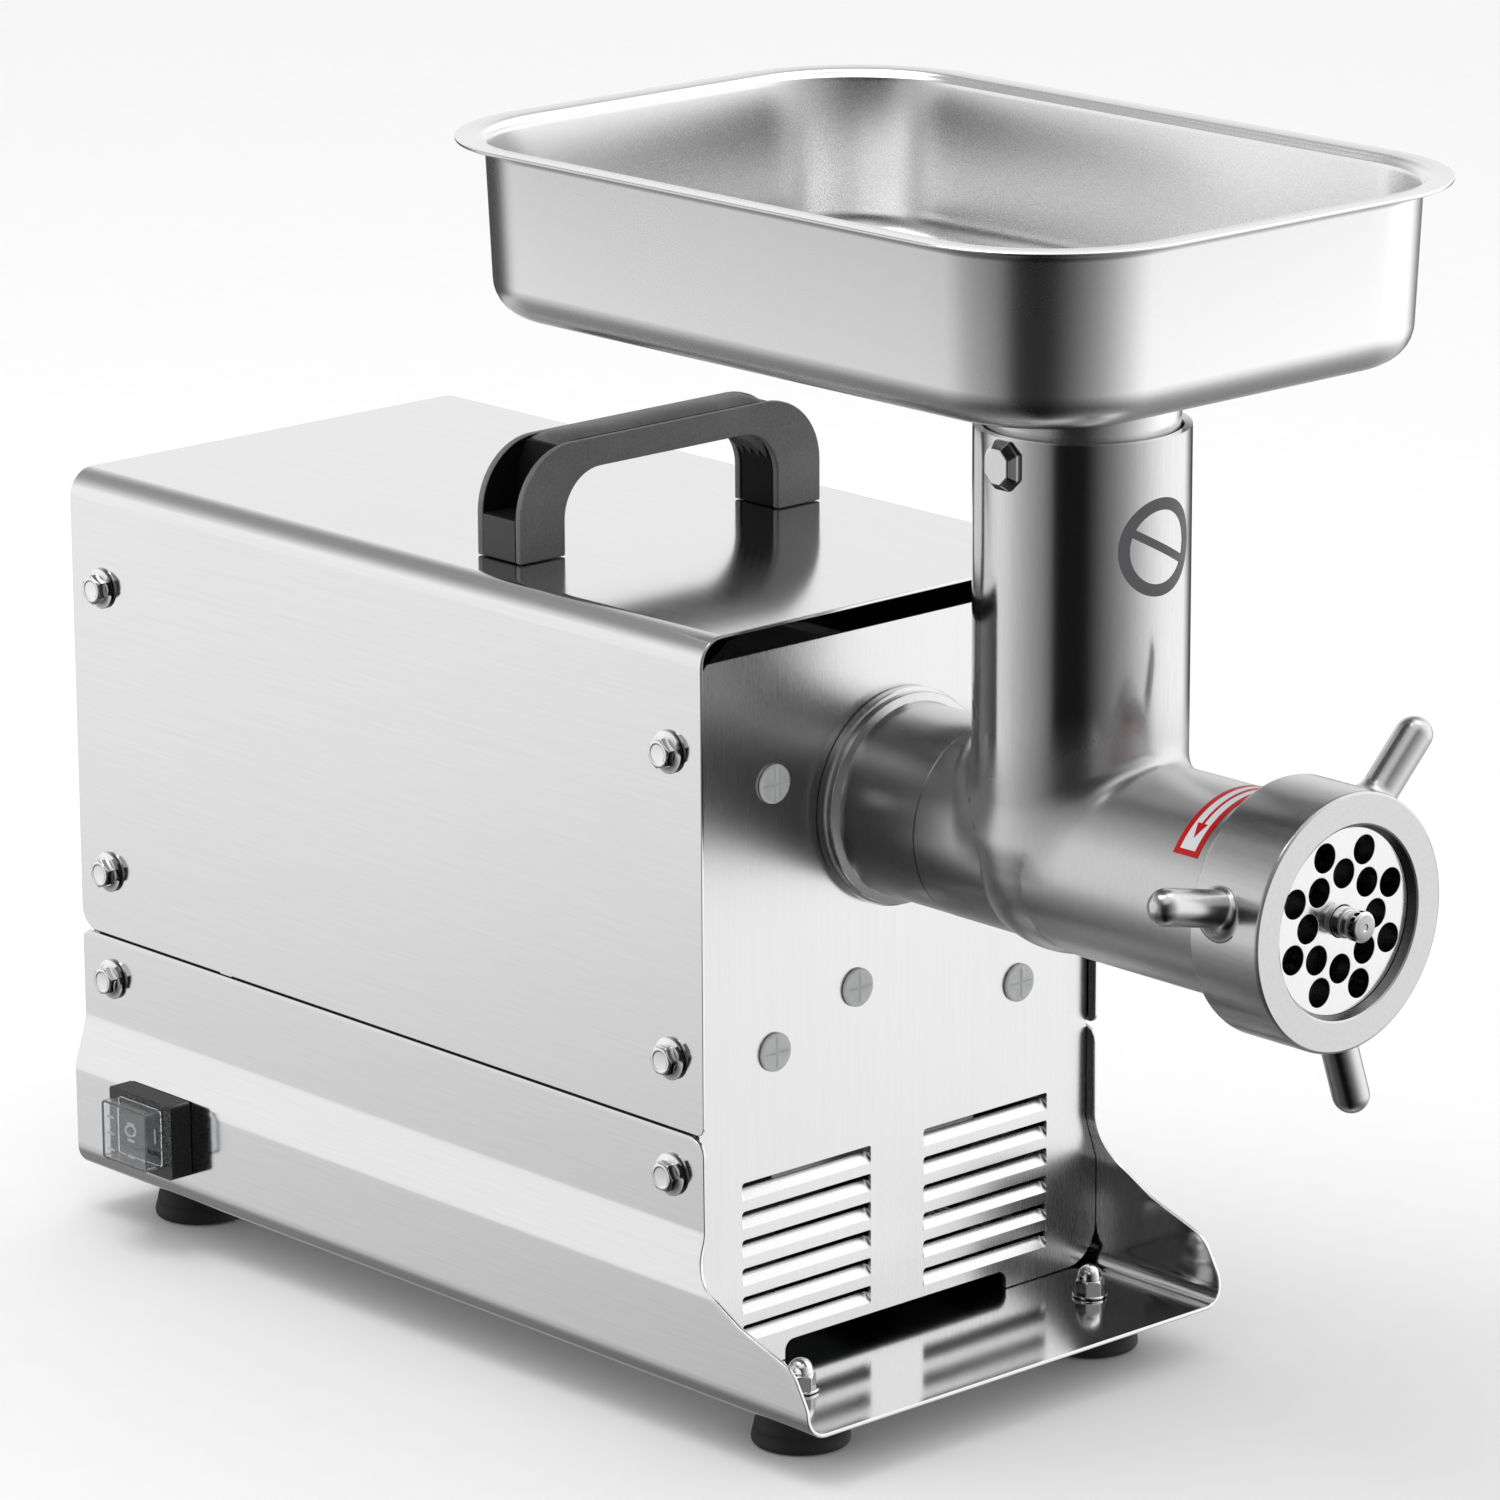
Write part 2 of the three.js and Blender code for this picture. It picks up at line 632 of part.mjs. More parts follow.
/** A snap-in plug that closes an unused hole in the front panel. */
function makePlug() {
  const face = FRONT_PANEL_Y - GAP;
  const profile = [
    [0, face - 1.2],
    [PLUG_R - 0.8, face - 1.2],
    [PLUG_R, face],
    [PLUG_HOLE_R - GAP, face],
    [PLUG_HOLE_R - GAP, face + 4],
    [0, face + 4],
  ];
  return turnedY(profile, COARSE);
}

// ---------------------------------------------------------------------------------------------
// Carrying handle
// ---------------------------------------------------------------------------------------------

function makeHandle() {
  const foot = COVER_TOP + GAP;
  const inner = HANDLE_HALF_LENGTH - HANDLE_LEG;
  const path = roundedPath([
    [HANDLE_HALF_LENGTH, foot, 0],
    [HANDLE_HALF_LENGTH, HANDLE_TOP_Z, HANDLE_BEND],
    [-HANDLE_HALF_LENGTH, HANDLE_TOP_Z, HANDLE_BEND],
    [-HANDLE_HALF_LENGTH, foot, 0],
  ], 6);
  const window = roundedPath([
    [-inner, foot, 0],
    [-inner, HANDLE_TOP_Z - HANDLE_GRIP, HANDLE_BEND - 8],
    [inner, HANDLE_TOP_Z - HANDLE_GRIP, HANDLE_BEND - 8],
    [inner, foot, 0],
  ], 5);
  const bridge = alongY(new THREE.Shape([...path, ...window]), HANDLE_FRONT_Y, HANDLE_BACK_Y);
  // The hollow at each end, open outwards, that gives access to the screw.
  const pockets = [-1, 1].map((side) => {
    const [outer, deep] = [side * (HANDLE_HALF_LENGTH + PAST), side * (inner + HANDLE_WALL)];
    return block(
      [Math.min(outer, deep), HANDLE_FRONT_Y + HANDLE_WALL, foot + HANDLE_SILL],
      [Math.max(outer, deep), HANDLE_BACK_Y - HANDLE_WALL, HANDLE_TOP_Z + PAST],
    );
  });
  return cut(bridge, pockets);
}

// ---------------------------------------------------------------------------------------------
// Switch
// ---------------------------------------------------------------------------------------------

const ROCKER_HALF_LENGTH = 10.6;
const ROCKER_HALF_WIDTH = 6.6;
const ROCKER_PIVOT_X = SWITCH_FACE_X + 6;
const ROCKER_REST_TILT = 10;

function makeSwitchHousing() {
  const wellHalfLength = ROCKER_HALF_LENGTH + 1.4;
  const wellHalfWidth = ROCKER_HALF_WIDTH + 0.4;
  const bezel = block(
    [SWITCH_FACE_X, SWITCH_Y - SWITCH_BEZEL.halfY, SWITCH_Z - SWITCH_BEZEL.halfZ],
    [-FLARE_HALF_WIDTH - GAP, SWITCH_Y + SWITCH_BEZEL.halfY, SWITCH_Z + SWITCH_BEZEL.halfZ],
  );
  const body = block(
    [-FLARE_HALF_WIDTH - PAST, SWITCH_Y - SWITCH_BODY.halfY, SWITCH_Z - SWITCH_BODY.halfZ],
    [-FLARE_HALF_WIDTH + SWITCH_BODY.depth, SWITCH_Y + SWITCH_BODY.halfY, SWITCH_Z + SWITCH_BODY.halfZ],
  );
  const well = block(
    [SWITCH_FACE_X - PAST, SWITCH_Y - wellHalfLength, SWITCH_Z - wellHalfWidth],
    [ROCKER_PIVOT_X + 13, SWITCH_Y + wellHalfLength, SWITCH_Z + wellHalfWidth],
  );
  return cut(join([bezel, body]), [well]);
}

/** The rocker, drawn about its pivot: two faces that meet at a shallow angle over a round back. */
function makeRocker() {
  const rise = ROCKER_HALF_LENGTH * Math.tan(radians(ROCKER_REST_TILT));
  const face = -4.5;
  const paddle = new THREE.Shape();
  paddle.moveTo(face - rise, -ROCKER_HALF_LENGTH);
  paddle.lineTo(face + 0.4, 0);
  paddle.lineTo(face - rise, ROCKER_HALF_LENGTH);
  paddle.lineTo(2, ROCKER_HALF_LENGTH - 2);
  paddle.lineTo(7, 3);
  paddle.lineTo(7, -3);
  paddle.lineTo(2, -ROCKER_HALF_LENGTH + 2);
  paddle.closePath();
  return alongZ(paddle, -ROCKER_HALF_WIDTH, ROCKER_HALF_WIDTH);
}

/** The clear splash hood over the rocker, open towards the switch. */
function makeSwitchHood() {
  const back = SWITCH_FACE_X - GAP;
  const { halfY, below, above, wall } = SWITCH_HOOD;
  const outer = block(
    [SWITCH_HOOD_X, SWITCH_Y - halfY, SWITCH_Z - below],
    [back, SWITCH_Y + halfY, SWITCH_Z + above],
  );
  const inside = block(
    [SWITCH_HOOD_X + wall, SWITCH_Y - halfY + wall, SWITCH_Z - below + wall],
    [back + PAST, SWITCH_Y + halfY - wall, SWITCH_Z + above - wall],
  );
  return outer.subtract(inside);
}

// ---------------------------------------------------------------------------------------------
// Gears and motor
// ---------------------------------------------------------------------------------------------

/** A spur gear's outline with involute flanks; first is the angle of its first tooth. */
function gearOutline(teeth, first) {
  const pitchR = (GEAR_MODULE * teeth) / 2;
  const baseR = pitchR * Math.cos(radians(20));
  const tipR = pitchR + 0.85 * GEAR_MODULE;
  const rootR = pitchR - 1.2 * GEAR_MODULE;
  const backlash = 0.3;
  const involute = (radius) => {
    const angle = Math.acos(Math.min(1, baseR / radius));
    return Math.tan(angle) - angle;
  };
  const atPitch = Math.PI / (2 * teeth) - backlash / (2 * pitchR);
  const halfAngle = (radius) => atPitch + involute(pitchR) - involute(radius);
  const flank = teeth > PINION_TEETH ? [rootR, tipR] : [rootR, pitchR, tipR];
  const points = [];
  for (let tooth = 0; tooth < teeth; tooth += 1) {
    const middle = first + (2 * Math.PI * tooth) / teeth;
    for (const radius of flank) {
      const angle = middle - halfAngle(radius);
      points.push(new THREE.Vector2(radius * Math.cos(angle), radius * Math.sin(angle)));
    }
    for (const radius of [...flank].reverse()) {
      const angle = middle + halfAngle(radius);
      points.push(new THREE.Vector2(radius * Math.cos(angle), radius * Math.sin(angle)));
    }
  }
  return new THREE.Shape(points);
}

/** A wheel with a space pointing straight down, ready to mesh with a pinion below it. */
function makeWheel(frontY, boreR) {
  const rim = alongY(gearOutline(WHEEL_TEETH, 0), frontY, frontY + FACE_WIDTH);
  const recessOuter = (GEAR_MODULE * WHEEL_TEETH) / 2 - 8;
  const recess = ringY(boreR + 7, recessOuter, frontY - PAST, frontY + 3.5);
  const bore = rodY(boreR + GAP, frontY - PAST, frontY + FACE_WIDTH + PAST);
  return cut(rim, [recess, bore]);
}

/** Pinion teeth with a tooth pointing straight up. */
function pinionTeeth(frontY) {
  return alongY(gearOutline(PINION_TEETH, Math.PI / 2), frontY, frontY + FACE_WIDTH);
}

const LAYSHAFT_R = 10;
const LAYSHAFT_JOURNAL_R = 8;

function makeLayshaft() {
  const shaft = turnedY([
    [0, GEARBOX_FRONT_Y + GAP],
    [LAYSHAFT_JOURNAL_R, GEARBOX_FRONT_Y + GAP],
    [LAYSHAFT_JOURNAL_R, GEARBOX_FRONT_Y + GEARBOX_WALL + GAP],
    [LAYSHAFT_R, GEARBOX_FRONT_Y + GEARBOX_WALL + GAP],
    [LAYSHAFT_R, GEARBOX_SPLIT_Y - 1],
    [LAYSHAFT_JOURNAL_R, GEARBOX_SPLIT_Y - 1],
    [LAYSHAFT_JOURNAL_R, GEARBOX_BACK_Y - GAP],
    [0, GEARBOX_BACK_Y - GAP],
  ], MEDIUM);
  return join([shaft, pinionTeeth(OUTPUT_STAGE_Y)]);
}

/** The gearbox's outline in X and Z: a round top about the output shaft over a straight case. */
function gearboxOutline(inset) {
  const half = GEARBOX_HALF_WIDTH - inset;
  const floor = GEARBOX_FLOOR_Z + inset;
  const corner = 14;
  const shape = new THREE.Shape();
  shape.moveTo(-half + corner, floor);
  shape.lineTo(half - corner, floor);
  shape.absarc(half - corner, floor + corner, corner, -Math.PI / 2, 0);
  shape.lineTo(half, AXIS_Z);
  shape.absarc(0, AXIS_Z, half, 0, Math.PI);
  shape.lineTo(-half, floor + corner);
  shape.absarc(-half + corner, floor + corner, corner, Math.PI, 1.5 * Math.PI);
  return shape;
}

const OUTPUT_SHAFT_R = 12.5;
const OUTPUT_NOSE_R = 15;
const OUTPUT_TAIL_R = 7.5;
const REAR_BEARING_R = 17.5;

function makeGearboxHousing() {
  const frontInside = GEARBOX_FRONT_Y + GEARBOX_WALL;
  const outer = alongY(gearboxOutline(0), GEARBOX_FRONT_Y, GEARBOX_SPLIT_Y, 4);
  const inside = alongY(gearboxOutline(GEARBOX_WALL), frontInside, GEARBOX_SPLIT_Y + PAST, 4);
  const shaftHole = rodY(OUTPUT_NOSE_R, GEARBOX_FRONT_Y - PAST, frontInside + PAST, 0, AXIS_Z);
  const layshaftHole = rodY(
    LAYSHAFT_JOURNAL_R + GAP,
    GEARBOX_FRONT_Y - PAST,
    frontInside + PAST,
    0,
    LAYSHAFT_Z,
    COARSE,
  );
  return cut(outer, [inside, shaftHole, layshaftHole]);
}

function makeGearboxCover() {
  const plate = alongY(gearboxOutline(0), GEARBOX_SPLIT_Y + GAP, GEARBOX_BACK_Y, 4);
  const holes = [
    [REAR_BEARING_R + GAP, AXIS_Z],
    [LAYSHAFT_JOURNAL_R + GAP, LAYSHAFT_Z],
    [GEAR_MODULE * (PINION_TEETH / 2 + 1) + 1, MOTOR_Z],
  ];
  return cut(plate, holes.map(([radius, z]) => (
    rodY(radius, GEARBOX_SPLIT_Y - PAST, GEARBOX_BACK_Y + PAST, 0, z)
  )));
}

const MOTOR_SHAFT_R = 7;
const MOTOR_BEARING_R = 17.3;
const END_BELL_WALL = 7;

function makeMotorShell() {
  const seat = MOTOR_BEARING_R + GAP;
  const wallBack = MOTOR_FRONT_Y + END_BELL_WALL;
  return turnedY([
    [seat, MOTOR_FRONT_Y],
    [MOTOR_R, MOTOR_FRONT_Y],
    [MOTOR_R, MOTOR_SPLIT_Y],
    [MOTOR_BORE_R, MOTOR_SPLIT_Y],
    [MOTOR_BORE_R, wallBack],
    [seat, wallBack],
    [seat, MOTOR_FRONT_Y],
  ]);
}

function makeEndBell() {
  const seat = MOTOR_BEARING_R + GAP;
  const front = MOTOR_SPLIT_Y + GAP;
  return turnedY([
    [MOTOR_R - 6, front],
    [MOTOR_R, front],
    [MOTOR_R, MOTOR_BACK_Y - 4],
    [MOTOR_R - 4, MOTOR_BACK_Y],
    [seat, MOTOR_BACK_Y],
    [seat, MOTOR_BACK_Y - END_BELL_WALL],
    [MOTOR_R - 6, MOTOR_BACK_Y - END_BELL_WALL],
    [MOTOR_R - 6, front],
  ]);
}

const FAN_FRONT_Y = MOTOR_BACK_Y + 5;
const FAN_WIDTH = 16;

function makeRotor() {
  const [coreFront, coreBack] = [MOTOR_FRONT_Y + 22, MOTOR_SPLIT_Y - 14];
  const shaft = turnedY([
    [0, INPUT_STAGE_Y - 2],
    [MOTOR_SHAFT_R, INPUT_STAGE_Y - 2],
    [MOTOR_SHAFT_R, coreFront],
    [MOTOR_BORE_R - 1, coreFront],
    [MOTOR_BORE_R - 1, coreBack],
    [MOTOR_SHAFT_R, coreBack],
    [MOTOR_SHAFT_R, FAN_FRONT_Y + FAN_WIDTH + 3],
    [0, FAN_FRONT_Y + FAN_WIDTH + 3],
  ], MEDIUM);
  return join([shaft, pinionTeeth(INPUT_STAGE_Y)]);
}

function makeFan() {
  const blades = 7;
  const hubR = 13;
  const fanR = 52;
  const disc = ringY(MOTOR_SHAFT_R + GAP, fanR, FAN_FRONT_Y, FAN_FRONT_Y + 2);
  const hub = ringY(MOTOR_SHAFT_R + GAP, hubR, FAN_FRONT_Y, FAN_FRONT_Y + FAN_WIDTH, COARSE);
  const blade = block([hubR - 2, FAN_FRONT_Y + 1, -1], [fanR - 1, FAN_FRONT_Y + FAN_WIDTH, 1]);
  const ring = [];
  for (let k = 0; k < blades; k += 1) {
    ring.push(blade.rotate([0, (360 * k) / blades, 0]));
  }
  return join([disc, hub, ...ring]);
}

const SADDLE_HALF_WIDTH = 48;
const SADDLE_Y = { from: 120, to: 156 };

/** The saddle that carries the motor on the base floor. */
function makeMotorSaddle() {
  const half = SADDLE_HALF_WIDTH;
  const floor = FOOT_HEIGHT + BASE_SHEET + GAP;
  const radius = MOTOR_R + GAP;
  const reach = Math.asin(half / radius);
  const shape = new THREE.Shape();
  shape.moveTo(-half, floor);
  shape.lineTo(half, floor);
  shape.absarc(0, MOTOR_Z, radius, -Math.PI / 2 + reach, -Math.PI / 2 - reach, true);
  shape.closePath();
  return alongY(shape, SADDLE_Y.from, SADDLE_Y.to, 12);
}

const CAPACITOR = { radius: 20, height: 72, x: 60, y: 282 };

/** The motor's run capacitor: a can that stands on the base floor, with two terminals on top. */
function makeCapacitor() {
  const floor = FOOT_HEIGHT + BASE_SHEET + GAP;
  const top = floor + CAPACITOR.height;
  const r = CAPACITOR.radius;
  const can = turnedZ([[0, floor], [r, floor], [r, top - 2], [r - 1.5, top], [0, top]], MEDIUM);
  const terminals = [-6, 6].map((x) => block([x - 0.5, -3, top - PAST], [x + 0.5, 3, top + 9]));
  return join([can, ...terminals]);
}

function makeOutputShaft() {
  const socket = 14.6;
  const noseY = SOCKET_END_Y + 10;
  const shaft = turnedY([
    [0, noseY],
    [OUTPUT_NOSE_R, noseY],
    [OUTPUT_NOSE_R, 1.4],
    [OUTPUT_SHAFT_R, 1.4],
    [OUTPUT_SHAFT_R, OUTPUT_STAGE_Y + FACE_WIDTH + 4],
    [OUTPUT_TAIL_R, OUTPUT_STAGE_Y + FACE_WIDTH + 4],
    [OUTPUT_TAIL_R, GEARBOX_BACK_Y - GAP],
    [0, GEARBOX_BACK_Y - GAP],
  ], MEDIUM);
  const square = block([-socket / 2, noseY - PAST, -socket / 2], [socket / 2, noseY + 24, socket / 2]);
  return shaft.subtract(square);
}

const SOCKET_BEARING_R = 23.7;

/** The steel socket on the front of the gearbox that the head pushes into. */
function makeSocket() {
  const bearingSeat = SOCKET_BEARING_R + GAP;
  const tube = turnedY([
    [SPIGOT_R + GAP, SOCKET_END_Y],
    [SOCKET_R, SOCKET_END_Y],
    [SOCKET_R, -2],
    [38, -2],
    [39, -0.8],
    [39, FRONT_PANEL_Y - GAP],
    [SOCKET_R + 0.4, FRONT_PANEL_Y - GAP],
    [SOCKET_R + 0.4, FRONT_PANEL_Y + PANEL_SHEET + GAP],
    [46, FRONT_PANEL_Y + PANEL_SHEET + GAP],
    [46, GEARBOX_FRONT_Y - GAP],
    [bearingSeat, GEARBOX_FRONT_Y - GAP],
    [bearingSeat, 2],
    [OUTPUT_NOSE_R + 2, 2],
    [OUTPUT_NOSE_R + 2, -1.5],
    [SPIGOT_R + GAP, -1.5],
    [SPIGOT_R + GAP, SOCKET_END_Y],
  ]);
  const knobBoss = rodX(9, SOCKET_R - 2, SOCKET_R + 6, KNOB_Y, 0);
  const thread = rodX(KNOB_SCREW_R + GAP, SPIGOT_R - 2, SOCKET_R + 7, KNOB_Y, 0, COARSE);
  const cleared = knobBoss.subtract(rodY(SOCKET_R - 1, SOCKET_END_Y, 0));
  return join([tube, cleared]).subtract(thread);
}

const KNOB_Y = -20;
const KNOB_SCREW_R = 4.9;

/** The lobed knob whose screw clamps the head's spigot, along +X from its tip at X = 0. */
function makeKnob() {
  const lobes = 5;
  const tipX = SPIGOT_R + 2 * GAP;
  const headX = SOCKET_R + 9;
  const screw = rodX(KNOB_SCREW_R, tipX, headX + 1, 0, 0, COARSE);
  const head = rodX(14, headX, headX + 15, 0, 0);
  const lobe = rodX(4, headX, headX + 15, 13, 0, SCREW);
  const ring = [];
  for (let k = 0; k < lobes; k += 1) {
    ring.push(lobe.rotate([(360 * k) / lobes, 0, 0]));
  }
  return join([screw, head, ...ring]);
}

// ---------------------------------------------------------------------------------------------
// Grinding head, drawn about its own axis
// ---------------------------------------------------------------------------------------------

const AUGER_BACK_Y = -50.8;
const KNIFE_BACK_Y = -190;

/** The head casting: spigot, barrel, threaded front end and feed tube. */
function makeHead() {
  const shoulder = SOCKET_END_Y - GAP;
  const outside = turnedY([
    [0, -3],
    [SPIGOT_R, -3],
    [SPIGOT_R, shoulder],
    [SOCKET_R, shoulder],
    [SOCKET_R, -56],
    [BARREL_R, -60],
    [BARREL_R, RING_BACK_Y - 3],
    [THREAD_R, RING_BACK_Y - 5],
    [THREAD_R, BARREL_END_Y],
    [0, BARREL_END_Y],
  ]);
  const tube = rodZ(TUBE_R, 0, TUBE_TOP_Z - AXIS_Z, 0, TUBE_Y, FINE);
  const bossCentre = TUBE_TOP_Z - AXIS_Z - 11.5;
  const boss = block(
    [-TUBE_R - 4, TUBE_Y - 7.5, bossCentre - 8],
    [-TUBE_R + 6, TUBE_Y + 7.5, bossCentre + 8],
  );
  const bore = turnedY([
    [0, -1],
    [OUTPUT_NOSE_R + 1, -1],
    [OUTPUT_NOSE_R + 1, -48],
    [AUGER_BORE_R, -48],
    [AUGER_BORE_R, -188],
    [PLATE_R + GAP, -188],
    [PLATE_R + GAP, BARREL_END_Y - PAST],
    [0, BARREL_END_Y - PAST],
  ]);
  const throat = rodZ(TUBE_BORE_R, 0, TUBE_TOP_Z - AXIS_Z + PAST, 0, TUBE_Y, FINE);
  const throatInBarrel = throat.subtract(rodY(AUGER_BORE_R + 3, -160, -20));
  const slot = rodZ(AUGER_BORE_R - 3, 0, 60, 0, TUBE_Y);
  return cut(join([outside, tube, boss]), [bore, throatInBarrel, slot]);
}

/** The feed screw's flight: a left-hand helix that carries food forwards as it turns. */
function makeFlight(innerR, outerR, fromY, toY, pitch, thickness) {
  const steps = Math.round((12 * (fromY - toY)) / pitch);
  const positions = [];
  for (let k = 0; k <= steps; k += 1) {
    const y = fromY + ((toY - fromY) * k) / steps;
    const angle = -(2 * Math.PI * (fromY - y)) / pitch;
    const corners = [
      [innerR, thickness / 2],
      [outerR, thickness / 2],
      [outerR, -thickness / 2],
      [innerR, -thickness / 2],
    ];
    for (const [radius, offset] of corners) {
      positions.push(radius * Math.cos(angle), y + offset, radius * Math.sin(angle));
    }
  }
  const index = [0, 1, 2, 0, 2, 3];
  for (let k = 0; k < steps; k += 1) {
    for (let side = 0; side < 4; side += 1) {
      const [a, b] = [4 * k + side, 4 * k + ((side + 1) % 4)];
      index.push(a, a + 4, b, b, a + 4, b + 4);
    }
  }
  const last = 4 * steps;
  index.push(last, last + 2, last + 1, last, last + 3, last + 2);
  const geometry = new THREE.BufferGeometry();
  geometry.setAttribute('position', new THREE.Float32BufferAttribute(positions, 3));
  geometry.setIndex(index);
  return solid(geometry);
}

function makeAuger() {
  const front = KNIFE_BACK_Y + GAP;
  const core = turnedY([
    [0, -36],
    [OUTPUT_NOSE_R + 0.5, -36],
    [OUTPUT_NOSE_R + 0.5, AUGER_BACK_Y],
    [AUGER_BORE_R - 1, AUGER_BACK_Y],
    [AUGER_BORE_R - 1, AUGER_BACK_Y - 3],
    [12, AUGER_BACK_Y - 10],
    [16, front + 20],
    [17, front],
    [0, front],
  ], MEDIUM);
  const tail = block([-7, -37, -7], [7, -8, 7]);
  const flight = makeFlight(10, AUGER_BORE_R - 1, AUGER_BACK_Y - 4, front + 4, 44, 5);
  const studBore = rodY(5, front - PAST, front + 15, 0, 0, COARSE);
  return join([core, tail, flight]).subtract(studBore);
}

/** The stud that drives the knife with its square and centres the plate with its round end. */
function makeStud() {
  const square = 12;
  const root = rodY(4.7, KNIFE_BACK_Y - PAST, KNIFE_BACK_Y + 14, 0, 0, COARSE);
  const drive = block([-square / 2, -199, -square / 2], [square / 2, KNIFE_BACK_Y, square / 2]);
  const nose = turnedY([
    [0, STUD_END_Y],
    [STUD_R - 0.8, STUD_END_Y],
    [STUD_R, STUD_END_Y + 0.8],
    [STUD_R, -213],
    [STUD_R - 1, -212],
    [STUD_R - 1, -210],
    [STUD_R, -209],
    [STUD_R, -198],
    [0, -198],
  ], MEDIUM);
  return join([root, drive, nose]);
}

/** The knife: four arms that sweep the back of the plate, on a square hole. */
function makeKnife() {
  const front = PLATE_FRONT_Y + PLATE_THICKNESS + 0.2;
  const back = KNIFE_BACK_Y - GAP;
  const hub = rodY(12.5, front, back);
  const arm = new THREE.Shape();
  arm.moveTo(8, -5.5);
  arm.lineTo(30, -3.5);
  arm.absarc(0, 0, 33.2, radians(-7), radians(9));
  arm.lineTo(8, 6);
  arm.closePath();
  const oneArm = alongY(arm, front, back - 1, 3);
  const arms = [0, 90, 180, 270].map((angle) => oneArm.rotate([0, angle, 0]));
  const square = 12.6;
  const hole = block([-square / 2, front - PAST, -square / 2], [square / 2, back + PAST, square / 2]);
  return join([hub, ...arms]).subtract(hole);
}

function makePlate() {
  const back = PLATE_FRONT_Y + PLATE_THICKNESS;
  const disc = rodY(PLATE_R, PLATE_FRONT_Y, back, 0, 0, FINE);
  const holes = [rodY(STUD_R + 0.4, PLATE_FRONT_Y - PAST, back + PAST)];
  for (const ring of PLATE_RINGS) {
    for (let k = 0; k < ring.count; k += 1) {
      const angle = radians(ring.first + (360 * k) / ring.count);
      const [x, z] = [ring.radius * Math.cos(angle), ring.radius * Math.sin(angle)];
      holes.push(rodY(PLATE_HOLE_R, PLATE_FRONT_Y - PAST, back + PAST, x, z, COARSE));
    }
  }
  return cut(disc, holes);
}

function makeRing() {
  const lipBack = PLATE_FRONT_Y - GAP;
  const nut = turnedY([
    [RING_BORE_R, RING_BACK_Y],
    [RING_R - 0.6, RING_BACK_Y],
    [RING_R, RING_BACK_Y - 0.6],
    [RING_R, RING_FRONT_Y + 1],
    [RING_R - 1, RING_FRONT_Y],
    [RING_OPENING_R, RING_FRONT_Y],
    [RING_OPENING_R - 1.5, lipBack],
    [RING_BORE_R, lipBack],
    [RING_BORE_R, RING_BACK_Y],
  ]);
  const radius = WING_R;
  const from = RING_R - 2.5;
  const reach = WING_REACH - radius - from;
  const wing = new THREE.CapsuleGeometry(radius, 2 * reach, 3, COARSE);
  wing.rotateZ(-Math.PI / 2);
  const hub = rodY(from, RING_FRONT_Y - 10, RING_BACK_Y + 10, 0, 0, FINE);
  const wings = WING_ANGLES.map((angle) => (
    solid(wing).translate([from, WING_Y, 0]).rotate([0, -angle, 0]).subtract(hub)
  ));
  const halves = wings.map((one, i) => {
    const side = block([0, WING_Y - 20, -20], [WING_REACH + 10, WING_Y + 20, 20]);
    return one.intersect(side.rotate([0, -WING_ANGLES[i], 0]));
  });
  return join([nut, ...halves]);
}

// ---------------------------------------------------------------------------------------------
// Tray
// ---------------------------------------------------------------------------------------------

const TRAY_STEPS = 6; // points on each corner

/** A ring of points round the tray, set in from the rim's edge, at one height. */
function trayRing(inset, z) {
  const radius = Math.max(TRAY_CORNER_R - inset, 4);
  const half = TRAY_HALF_WIDTH - inset;
  const [front, back] = [TRAY_FRONT_Y + inset, TRAY_BACK_Y - inset];
  const centres = [
    [half - radius, back - radius],
    [-half + radius, back - radius],
    [-half + radius, front + radius],
    [half - radius, front + radius],
  ];
  return centres.flatMap(([x, y], corner) => (
    Array.from({ length: TRAY_STEPS }, (_, k) => {
      const angle = (Math.PI / 2) * (corner + k / (TRAY_STEPS - 1));
      return new THREE.Vector3(x + radius * Math.cos(angle), y + radius * Math.sin(angle), z);
    })
  ));
}

/** A ring of as many points round the neck. */
function neckRing(radius, z) {
  const count = 4 * TRAY_STEPS;
  return Array.from({ length: count }, (_, k) => {
    const angle = (2 * Math.PI * (k + 0.5)) / count;
    return new THREE.Vector3(radius * Math.cos(angle), TUBE_Y + radius * Math.sin(angle), z);
  });
}

